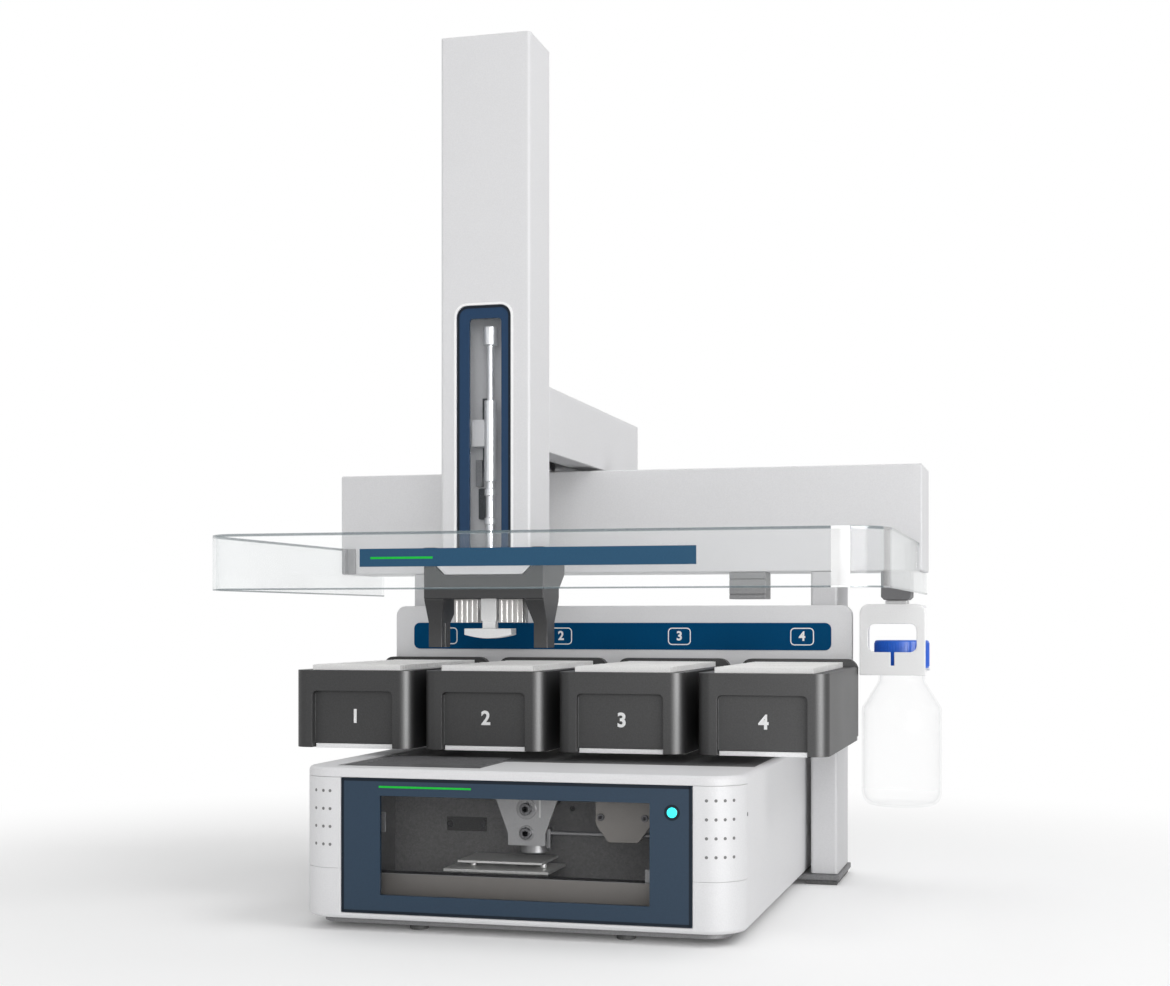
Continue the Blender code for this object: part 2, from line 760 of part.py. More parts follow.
# Base: sheet chamber behind the window, with a bent ledge across its front
def make_chamber():
    floor = BASE_BOTTOM + FLANGE_THICK + FIT
    liner = block(
        "chamber_liner",
        (-CHAMBER_HALF, CHAMBER_FRONT, floor),
        (CHAMBER_HALF, CHAMBER_REAR, CHAMBER_TOP),
        DARK_STEEL,
    )
    cut_block(
        liner,
        (-CHAMBER_HALF + SHEET, CHAMBER_FRONT - OVERRUN, floor + SHEET),
        (CHAMBER_HALF - SHEET, CHAMBER_REAR - SHEET, CHAMBER_TOP - SHEET),
    )
    join_block(
        liner,
        (-CHAMBER_HALF + SHEET / 2, LEDGE_FRONT, floor + SHEET / 2),
        (CHAMBER_HALF - SHEET / 2, LEDGE_FRONT + SHEET, LEDGE_TOP),
    )
    join_block(
        liner,
        (-CHAMBER_HALF + SHEET / 2, LEDGE_FRONT, LEDGE_TOP - SHEET),
        (CHAMBER_HALF - SHEET / 2, LEDGE_FRONT + LEDGE_LIP, LEDGE_TOP),
    )
    shaft_hole = CLAMP_SHAFT_RADIUS + FIT
    cut_round(
        liner,
        (CLAMP_X, CHAMBER_REAR - SHEET - OVERRUN, CLAMP_SHAFT_Z),
        (CLAMP_X, CHAMBER_REAR + OVERRUN, CLAMP_SHAFT_Z),
        shaft_hole,
    )


# Base: guide rod held in the chamber's right wall, with a stop plate on its free end
def make_guide_rod():
    stop = CLAMP_X + CLAMP_FOOT_HALF
    rod = cylinder(
        "guide_rod",
        (stop + ROD_STOP_THICK / 2, ROD_Y, ROD_Z),
        (CHAMBER_HALF - SHEET - FIT, ROD_Y, ROD_Z),
        ROD_RADIUS,
        STEEL,
        sides=20,
    )
    join_block(
        rod,
        (stop, ROD_Y - ROD_STOP_HALF, ROD_Z - ROD_STOP_DROP),
        (stop + ROD_STOP_THICK, ROD_Y + ROD_STOP_HALF, ROD_Z + ROD_STOP_HALF),
    )


# Base: card table under the clamp
def make_card_table():
    floor = BASE_BOTTOM + FLANGE_THICK + FIT + SHEET + FIT
    table = block(
        "card_table",
        (TABLE_LEFT, TABLE_FRONT, TABLE_TOP - TABLE_PLATE),
        (TABLE_RIGHT, TABLE_REAR, TABLE_TOP),
        GREY_METAL,
    )
    join_block(
        table,
        (TABLE_LEFT + TABLE_INSET, TABLE_FRONT + TABLE_INSET, floor),
        (TABLE_RIGHT - TABLE_INSET, TABLE_REAR - TABLE_INSET, TABLE_TOP - TABLE_PLATE / 2),
    )
    join_block(
        table,
        (TABLE_LEFT + TABLE_INSET, TABLE_FRONT + TABLE_PLATE, COVER_PLATE_TOP - COVER_PLATE),
        (TABLE_RIGHT - TABLE_INSET / 2, TABLE_REAR - TABLE_PLATE, COVER_PLATE_TOP),
    )
    for x in (TABLE_LEFT + TABLE_INSET + 2 * POST_RADIUS, TABLE_RIGHT - TABLE_INSET / 2 - 2 * POST_RADIUS):
        join_round(
            table,
            (x, (TABLE_FRONT + TABLE_REAR) / 2, TABLE_TOP - TABLE_PLATE / 2),
            (x, (TABLE_FRONT + TABLE_REAR) / 2, COVER_PLATE_TOP - COVER_PLATE / 2),
            POST_RADIUS,
        )


# Base: clamp head that comes down on the table, and its motor behind the chamber
def make_clamp():
    joint = empty("clamp_slide", (CLAMP_X, NOZZLE_Y, NOZZLE_BOTTOM), BENCH)
    outline = [
        (CLAMP_X - CLAMP_TOP_HALF, CLAMP_TOP),
        (CLAMP_X - CLAMP_FOOT_HALF, CLAMP_KNEE),
        (CLAMP_X - CLAMP_FOOT_HALF, CLAMP_BOTTOM),
        (CLAMP_X + CLAMP_FOOT_HALF, CLAMP_BOTTOM),
        (CLAMP_X + CLAMP_FOOT_HALF, CLAMP_KNEE),
        (CLAMP_X + CLAMP_TOP_HALF, CLAMP_TOP),
    ]
    head = plate("clamp_head", outline, CLAMP_PLATE_Y, CLAMP_PLATE_Y + CLAMP_PLATE, ALUMINIUM, joint)
    for level in (CLAMP_KNEE, CLAMP_KNEE + CLAMP_HOLE_RISE):
        cut_round(
            head,
            (CLAMP_X, CLAMP_PLATE_Y - OVERRUN, level),
            (CLAMP_X, CLAMP_PLATE_Y + CLAMP_PLATE + OVERRUN, level),
            CLAMP_HOLE_RADIUS,
        )
    join_block(
        head,
        (CLAMP_X - CLAMP_LINK_HALF, CLAMP_PLATE_Y + CLAMP_PLATE / 2, CLAMP_LINK_BOTTOM + NOZZLE_RADIUS),
        (CLAMP_X + CLAMP_LINK_HALF, NOZZLE_Y, CLAMP_TOP),
    )
    join_round(head, (CLAMP_X, NOZZLE_Y, NOZZLE_BOTTOM), (CLAMP_X, NOZZLE_Y, CLAMP_TOP), NOZZLE_RADIUS)
    motor_front = CHAMBER_REAR + FIT
    motor = cylinder(
        "clamp_motor",
        (CLAMP_X, motor_front, CLAMP_SHAFT_Z),
        (CLAMP_X, motor_front + CLAMP_MOTOR_LENGTH, CLAMP_SHAFT_Z),
        CLAMP_MOTOR_RADIUS,
        BLACK,
    )
    join_round(
        motor,
        (CLAMP_X, NOZZLE_Y + NOZZLE_RADIUS + FIT, CLAMP_SHAFT_Z),
        (CLAMP_X, motor_front + OVERRUN, CLAMP_SHAFT_Z),
        CLAMP_SHAFT_RADIUS,
    )


# Base: shuttle plate that runs along the guide rod
def make_shuttle():
    joint = empty("shuttle_slide", ((SHUTTLE_LEFT + SHUTTLE_RIGHT) / 2, ROD_Y, ROD_Z), BENCH)
    outline = [
        (SHUTTLE_LEFT, SHUTTLE_TOP),
        (SHUTTLE_LEFT, SHUTTLE_KNEE),
        (SHUTTLE_LEFT + SHUTTLE_FOOT_INSET, SHUTTLE_BOTTOM),
        (SHUTTLE_RIGHT - SHUTTLE_FOOT_INSET, SHUTTLE_BOTTOM),
        (SHUTTLE_RIGHT, SHUTTLE_KNEE),
        (SHUTTLE_RIGHT, SHUTTLE_TOP),
    ]
    shuttle = plate("shuttle_plate", outline, CLAMP_PLATE_Y, CLAMP_PLATE_Y + CLAMP_PLATE, GREY_METAL, joint)
    join_block(
        shuttle,
        (SHUTTLE_LEFT + SHUTTLE_FOOT_INSET, CLAMP_PLATE_Y + CLAMP_PLATE / 2, ROD_Z - SHUTTLE_BEARING / 2),
        (SHUTTLE_RIGHT - SHUTTLE_FOOT_INSET, ROD_Y + SHUTTLE_BEARING / 2, ROD_Z + SHUTTLE_BEARING / 2),
    )
    cut_round(
        shuttle,
        (SHUTTLE_LEFT - OVERRUN, ROD_Y, ROD_Z),
        (SHUTTLE_RIGHT + OVERRUN, ROD_Y, ROD_Z),
        ROD_RADIUS + FIT,
    )


# Base: rear panel with the mains inlet
def make_rear_panel():
    rear = BASE_DEPTH - FIT
    panel = block(
        "base_rear_panel",
        (-BASE_INNER + FIT, rear - REAR_PANEL_THICK, BASE_BOTTOM + FLANGE_THICK + FIT),
        (BASE_INNER - FIT, rear, BASE_TOP - BASE_WALL - FIT),
        HOUSING,
    )
    half_width = INLET_WIDTH / 2
    half_height = INLET_HEIGHT / 2
    cut_block(
        panel,
        (INLET_X - half_width, rear - REAR_PANEL_THICK - OVERRUN, INLET_Z - half_height),
        (INLET_X + half_width, rear + OVERRUN, INLET_Z + half_height),
    )
    inlet = block(
        "power_inlet",
        (INLET_X - half_width + FIT, rear - INLET_DEPTH, INLET_Z - half_height + FIT),
        (INLET_X + half_width - FIT, rear + INLET_WALL, INLET_Z + half_height - FIT),
        BLACK,
    )
    join_block(
        inlet,
        (INLET_X - half_width - INLET_FLANGE, rear + FIT, INLET_Z - half_height - INLET_FLANGE),
        (INLET_X + half_width + INLET_FLANGE, rear + INLET_WALL, INLET_Z + half_height + INLET_FLANGE),
    )
    cut_block(
        inlet,
        (INLET_X - half_width + INLET_WALL, rear - INLET_DEPTH + INLET_WALL, INLET_Z - half_height + INLET_WALL),
        (INLET_X + half_width - INLET_WALL, rear + INLET_WALL + OVERRUN, INLET_Z + half_height - INLET_WALL),
    )


# Front cover: white wings round the corners, blue frame, pane and lamp; it pulls off forwards
def make_front_cover():
    joint = empty("cover_slide", (0, 0, FRAME_BOTTOM), BENCH)
    top = COVER_TOP
    rear = WING_DEPTH - FIT
    front = FRAME_THICK + FIT
    cover = block(
        "front_cover",
        (-BASE_HALF, 0, WING_BOTTOM + FIT),
        (BASE_HALF, rear, top),
        HOUSING,
        joint,
        upright_rounds(BASE_CORNER, 2 * CORNER_STEPS),
    )
    inner = BASE_INNER
    cut_block(
        cover,
        (-inner, front + CARRIER_THICK, WING_BOTTOM - OVERRUN),
        (inner, rear + BASE_CORNER, top + OVERRUN),
        upright_rounds(BASE_CORNER - front - CARRIER_THICK, 2 * CORNER_STEPS),
    )
    cut_block(
        cover,
        (-FRAME_HALF - FIT, -OVERRUN, WING_BOTTOM - OVERRUN),
        (FRAME_HALF + FIT, front, top + OVERRUN),
    )
    join_block(
        cover,
        (-FRAME_HALF + CARRIER_LEDGE, front, FRAME_BOTTOM + CARRIER_LIFT),
        (FRAME_HALF - CARRIER_LEDGE, front + CARRIER_THICK, top),
    )
    cut_block(
        cover,
        (-GLASS_HALF - CARRIER_LEDGE, front - OVERRUN, GLASS_BOTTOM - CARRIER_LEDGE),
        (GLASS_HALF + CARRIER_LEDGE, front + CARRIER_THICK + OVERRUN, GLASS_TOP + CARRIER_LEDGE),
    )
    frame = block(
        "window_frame",
        (-FRAME_HALF, 0, FRAME_BOTTOM),
        (FRAME_HALF, FRAME_THICK, top),
        SLATE_BLUE,
        joint,
    )
    cut_block(
        frame,
        (-GLASS_HALF, -OVERRUN, GLASS_BOTTOM),
        (GLASS_HALF, FRAME_THICK + OVERRUN, GLASS_TOP),
    )
    cut_round(
        frame,
        (LAMP_X, -OVERRUN, LAMP_Z),
        (LAMP_X, FRAME_THICK + OVERRUN, LAMP_Z),
        LAMP_RADIUS + FIT,
    )
    block(
        "window_pane",
        (-GLASS_HALF + FIT, FRAME_THICK - PANE_THICK, GLASS_BOTTOM + FIT),
        (GLASS_HALF - FIT, FRAME_THICK, GLASS_TOP - FIT),
        GLASS,
        joint,
    )
    cylinder(
        "status_lamp",
        (LAMP_X, 0, LAMP_Z),
        (LAMP_X, FRAME_THICK, LAMP_Z),
        LAMP_RADIUS,
        LAMP,
        joint,
    )


# Gantry: two legs, the beam with its inner profile and rail
def make_gantry():
    for side, sign in (("left", -1), ("right", 1)):
        ends = sorted((sign * LEG_INNER, sign * LEG_OUTER))
        leg = block(
            f"leg_{side}",
            (ends[0], GANTRY_FRONT, BASE_BOTTOM),
            (ends[1], GANTRY_REAR, BEAM_BOTTOM - FIT),
            HOUSING,
            None,
            [(2, {}, LEG_EDGE, SMALL_STEPS)],
        )
        cut_block(
            leg,
            (ends[0] + LEG_WALL, GANTRY_FRONT + LEG_WALL, BASE_BOTTOM - OVERRUN),
            (ends[1] - LEG_WALL, GANTRY_REAR - LEG_WALL, BEAM_BOTTOM + OVERRUN),
        )
    beam = block(
        "beam_cover",
        (-BEAM_HALF, GANTRY_FRONT, BEAM_BOTTOM),
        (BEAM_HALF, GANTRY_REAR, BEAM_TOP),
        HOUSING,
    )
    inner = BEAM_HALF - BEAM_WALL
    cut_block(
        beam,
        (-inner, GANTRY_FRONT + BEAM_WALL, BEAM_BOTTOM + BEAM_WALL),
        (inner, GANTRY_REAR + OVERRUN, BEAM_TOP - BEAM_WALL),
    )
    slot_margin = NECK_HALF + NECK_GAP
    cut_block(
        beam,
        (
            TOWER_X - slot_margin - X_TRAVEL_LEFT,
            RAIL_Y - NECK_DEPTH / 2 - NECK_GAP,
            BEAM_TOP - BEAM_WALL - OVERRUN,
        ),
        (
            TOWER_X + slot_margin + X_TRAVEL_RIGHT,
            RAIL_Y + NECK_DEPTH / 2 + NECK_GAP,
            BEAM_TOP + OVERRUN,
        ),
    )
    block(
        "beam_rear_cover",
        (-inner + FIT, GANTRY_REAR - BEAM_REAR_THICK, BEAM_BOTTOM + BEAM_WALL + FIT),
        (inner - FIT, GANTRY_REAR, BEAM_TOP - BEAM_WALL - FIT),
        HOUSING,
    )
    core_bottom = BEAM_BOTTOM + BEAM_WALL + FIT
    core_top = core_bottom + CORE_HEIGHT
    core_end = inner - CORE_END_GAP
    rail = block(
        "x_rail",
        (-core_end, CORE_FRONT, core_bottom),
        (core_end, CORE_REAR, core_top),
        ALUMINIUM,
    )
    cut_block(
        rail,
        (-core_end - OVERRUN, CORE_FRONT + CORE_WALL, core_bottom + CORE_WALL),
        (core_end + OVERRUN, CORE_REAR - CORE_WALL, core_top - CORE_WALL),
    )
    join_block(
        rail,
        (RAIL_START, RAIL_Y - RAIL_WIDTH / 2, core_top - CORE_WALL / 2),
        (RAIL_END, RAIL_Y + RAIL_WIDTH / 2, core_top + RAIL_HEIGHT),
    )
    block(
        "x_motor",
        (X_MOTOR_LEFT, RAIL_Y - X_MOTOR_SIDE / 2, core_top + FIT),
        (X_MOTOR_LEFT + X_MOTOR_SIDE, RAIL_Y + X_MOTOR_SIDE / 2, core_top + FIT + X_MOTOR_SIDE),
        BLACK,
    )


# X carriage on the beam's rail, with the head that carries the arm
def make_carriage():
    stage = empty("x_stage", (TOWER_X, RAIL_Y, BEAM_TOP), BENCH)
    rail_top = BEAM_BOTTOM + BEAM_WALL + FIT + CORE_HEIGHT + RAIL_HEIGHT
    half_depth = CARRIAGE_DEPTH / 2
    low = rail_top - RAIL_COVER
    carriage = block(
        "x_carriage",
        (TOWER_X - CARRIAGE_HALF, RAIL_Y - half_depth, low),
        (TOWER_X + CARRIAGE_HALF, RAIL_Y + half_depth, low + CARRIAGE_HEIGHT),
        ALUMINIUM,
        stage,
    )
    cut_block(
        carriage,
        (TOWER_X - CARRIAGE_HALF - OVERRUN, RAIL_Y - RAIL_WIDTH / 2 - FIT, low - OVERRUN),
        (TOWER_X + CARRIAGE_HALF + OVERRUN, RAIL_Y + RAIL_WIDTH / 2 + FIT, rail_top + FIT),
    )
    join_block(
        carriage,
        (TOWER_X - NECK_HALF, RAIL_Y - NECK_DEPTH / 2, low + CARRIAGE_HEIGHT / 2),
        (TOWER_X + NECK_HALF, RAIL_Y + NECK_DEPTH / 2, HEAD_BOTTOM + OVERRUN),
    )
    join_block(
        carriage,
        (TOWER_X - HEAD_HALF, RAIL_Y - half_depth, HEAD_BOTTOM),
        (TOWER_X + HEAD_HALF, RAIL_Y + half_depth, HEAD_TOP),
    )
    return stage


# Arm: cover, bottom plate and the inner profile that rides on the carriage's head
def make_arm(stage):
    arm_front = TOWER_REAR + FIT
    cover = block(
        "arm_cover",
        (TOWER_LEFT, arm_front, ARM_BOTTOM),
        (TOWER_RIGHT, ARM_REAR, ARM_TOP),
        HOUSING,
        stage,
    )
    cut_block(
        cover,
        (TOWER_LEFT + ARM_WALL, arm_front + ARM_WALL, ARM_BOTTOM - OVERRUN),
        (TOWER_RIGHT - ARM_WALL, ARM_REAR - ARM_WALL, ARM_TOP - ARM_WALL),
    )
    inset = ARM_WALL + FIT
    bottom = block(
        "arm_plate",
        (TOWER_LEFT + inset, arm_front + inset, ARM_BOTTOM),
        (TOWER_RIGHT - inset, ARM_REAR - inset, ARM_BOTTOM + ARM_PLATE),
        ALUMINIUM,
        stage,
    )
    cut_block(
        bottom,
        (
            TOWER_X - NECK_HALF - NECK_GAP,
            RAIL_Y - NECK_DEPTH / 2 - Y_TRAVEL_REAR - NECK_GAP,
            ARM_BOTTOM - OVERRUN,
        ),
        (
            TOWER_X + NECK_HALF + NECK_GAP,
            RAIL_Y + NECK_DEPTH / 2 + Y_TRAVEL_FRONT + NECK_GAP,
            ARM_BOTTOM + ARM_PLATE + OVERRUN,
        ),
    )
    half = TOWER_HALF - ARM_WALL - 2 * FIT
    seat = ARM_BOTTOM + ARM_PLATE + FIT
    web = ARM_BEAM_TOP - ARM_BEAM_WEB
    side = half - ARM_BEAM_SIDE
    outline = [
        (TOWER_X - half, ARM_BEAM_TOP),
        (TOWER_X - half, seat),
        (TOWER_X - side, seat),
        (TOWER_X - side, web),
        (TOWER_X - Y_RAIL_HALF, web),
        (TOWER_X - Y_RAIL_HALF, HEAD_TOP + FIT),
        (TOWER_X + Y_RAIL_HALF, HEAD_TOP + FIT),
        (TOWER_X + Y_RAIL_HALF, web),
        (TOWER_X + side, web),
        (TOWER_X + side, seat),
        (TOWER_X + half, seat),
        (TOWER_X + half, ARM_BEAM_TOP),
    ]
    plate("arm_beam", outline, arm_front + inset + FIT, ARM_REAR - inset - FIT, ALUMINIUM, stage)


# Tower: painted channel with a slot, its collar, frame and pane, and the back with the z guides
def make_tower(stage):
    tower = block(
        "tower_cover",
        (TOWER_LEFT, TOWER_FRONT, TOWER_BOTTOM + COLLAR_CHAMFER + FIT),
        (TOWER_RIGHT, TOWER_REAR, TOWER_TOP),
        HOUSING,
        stage,
        [(2, {1: -1}, TOWER_EDGE, SMALL_STEPS)],
    )
    join_block(
        tower,
        (TOWER_X - COLLAR_HALF, COLLAR_FRONT, TOWER_BOTTOM),
        (TOWER_X + COLLAR_HALF, TOWER_REAR, COLLAR_TOP),
        [(1, {2: -1}, COLLAR_CHAMFER, 1)],
    )
    cut_block(
        tower,
        (TOWER_LEFT + TOWER_WALL, TOWER_FRONT + TOWER_WALL, TOWER_BOTTOM + COLLAR_FLOOR),
        (TOWER_RIGHT - TOWER_WALL, TOWER_REAR + OVERRUN, TOWER_TOP - TOWER_WALL),
    )
    cut_block(
        tower,
        (SLOT_LEFT, TOWER_FRONT - OVERRUN, SLOT_BOTTOM),
        (SLOT_RIGHT, TOWER_FRONT + TOWER_WALL + OVERRUN, SLOT_TOP),
        top_rounds(SLOT_CORNER),
    )
    cut_round(
        tower,
        (TOWER_X, SHAFT_Y, TOWER_BOTTOM - OVERRUN),
        (TOWER_X, SHAFT_Y, TOWER_BOTTOM + COLLAR_FLOOR + OVERRUN),
        SHAFT_LOW_RADIUS + FIT,
    )
    front = TOWER_FRONT + TOWER_FRAME_RECESS
    frame = block(
        "tower_window_frame",
        (SLOT_LEFT + FIT, front, SLOT_BOTTOM + FIT),
        (SLOT_RIGHT - FIT, front + TOWER_FRAME_THICK, SLOT_TOP - FIT),
        SLATE_BLUE,
        stage,
        top_rounds(SLOT_CORNER - FIT),
    )
    cut_block(
        frame,
        (TOWER_GLASS_LEFT, front - OVERRUN, TOWER_GLASS_BOTTOM),
        (TOWER_GLASS_RIGHT, front + TOWER_FRAME_THICK + OVERRUN, TOWER_GLASS_TOP),
        [(1, {}, TOWER_GLASS_CORNER, SMALL_STEPS)],
    )
    block(
        "tower_window_pane",
        (TOWER_GLASS_LEFT + FIT, front + TOWER_FRAME_RECESS, TOWER_GLASS_BOTTOM + FIT),
        (TOWER_GLASS_RIGHT - FIT, front + TOWER_FRAME_THICK, TOWER_GLASS_TOP - FIT),
        GLASS,
        stage,
        [(1, {}, TOWER_GLASS_CORNER, SMALL_STEPS)],
    )
    floor = TOWER_BOTTOM + COLLAR_FLOOR + FIT
    inset = TOWER_WALL + FIT
    back = block(
        "tower_back",
        (TOWER_LEFT + inset, TOWER_REAR - TOWER_BACK_THICK, floor),
        (TOWER_RIGHT - inset, TOWER_REAR, TOWER_TOP - inset),
        HOUSING,
        stage,
    )
    join_block(
        back,
        (TOWER_X - SPINE_HALF, SPINE_FRONT, floor + TOWER_BACK_THICK),
        (TOWER_X + SPINE_HALF, TOWER_REAR - TOWER_BACK_THICK / 2, Z_MOTOR_BOTTOM - FIT),
    )
    guide_right = TOWER_X - SHAFT_TUBE_RADIUS - FIT
    join_block(
        back,
        (guide_right - GUIDE_WIDTH, SHAFT_Y, GUIDE_BOTTOM),
        (guide_right, SPINE_FRONT + OVERRUN, GUIDE_TOP),
    )
    join_block(
        back,
        (TOWER_X - BUSH_HALF, BUSH_FRONT, BUSH_BOTTOM),
        (TOWER_X + BUSH_HALF, SPINE_FRONT + OVERRUN, BUSH_BOTTOM + BUSH_HEIGHT),
    )
    cut_round(
        back,
        (TOWER_X, SHAFT_Y, BUSH_BOTTOM - OVERRUN),
        (TOWER_X, SHAFT_Y, BUSH_BOTTOM + BUSH_HEIGHT + OVERRUN),
        SHAFT_LOW_RADIUS + FIT,
    )
    motor_rear = TOWER_REAR - TOWER_BACK_THICK - FIT
    block(
        "z_motor",
        (TOWER_X - Z_MOTOR_SIDE / 2, motor_rear - Z_MOTOR_SIDE, Z_MOTOR_BOTTOM),
        (TOWER_X + Z_MOTOR_SIDE / 2, motor_rear, Z_MOTOR_BOTTOM + Z_MOTOR_HEIGHT),
        BLACK,
        stage,
    )


# Z shaft: nut, thin rod, tube and the lower rod with two collars, down to the gripper
def make_shaft(stage):
    seat = TOWER_BOTTOM
    profile = [
        (0, SHAFT_NUT_TOP),
        (SHAFT_NUT_RADIUS, SHAFT_NUT_TOP),
        (SHAFT_NUT_RADIUS, SHAFT_NUT_BOTTOM),
        (SHAFT_THIN_RADIUS, SHAFT_NUT_BOTTOM),
        (SHAFT_THIN_RADIUS, SHAFT_TUBE_TOP),
        (SHAFT_TUBE_RADIUS, SHAFT_TUBE_TOP),
        (SHAFT_TUBE_RADIUS, SHAFT_TUBE_BOTTOM),
        (SHAFT_LOW_RADIUS, SHAFT_TUBE_BOTTOM),
        (SHAFT_LOW_RADIUS, SHAFT_UPPER_COLLAR + SHAFT_COLLAR_HEIGHT),
        (SHAFT_COLLAR_RADIUS, SHAFT_UPPER_COLLAR + SHAFT_COLLAR_HEIGHT),
        (SHAFT_COLLAR_RADIUS, SHAFT_UPPER_COLLAR),
        (SHAFT_LOW_RADIUS, SHAFT_UPPER_COLLAR),
        (SHAFT_LOW_RADIUS, SHAFT_COLLAR_BOTTOM + SHAFT_COLLAR_HEIGHT),
        (SHAFT_COLLAR_RADIUS, SHAFT_COLLAR_BOTTOM + SHAFT_COLLAR_HEIGHT),
        (SHAFT_COLLAR_RADIUS, SHAFT_COLLAR_BOTTOM),
        (SHAFT_LOW_RADIUS, SHAFT_COLLAR_BOTTOM),
        (SHAFT_LOW_RADIUS, seat),
        (0, seat),
    ]
    turned("z_shaft", [(r, z - seat) for r, z in profile], (TOWER_X, SHAFT_Y, seat), STEEL, stage, 20)


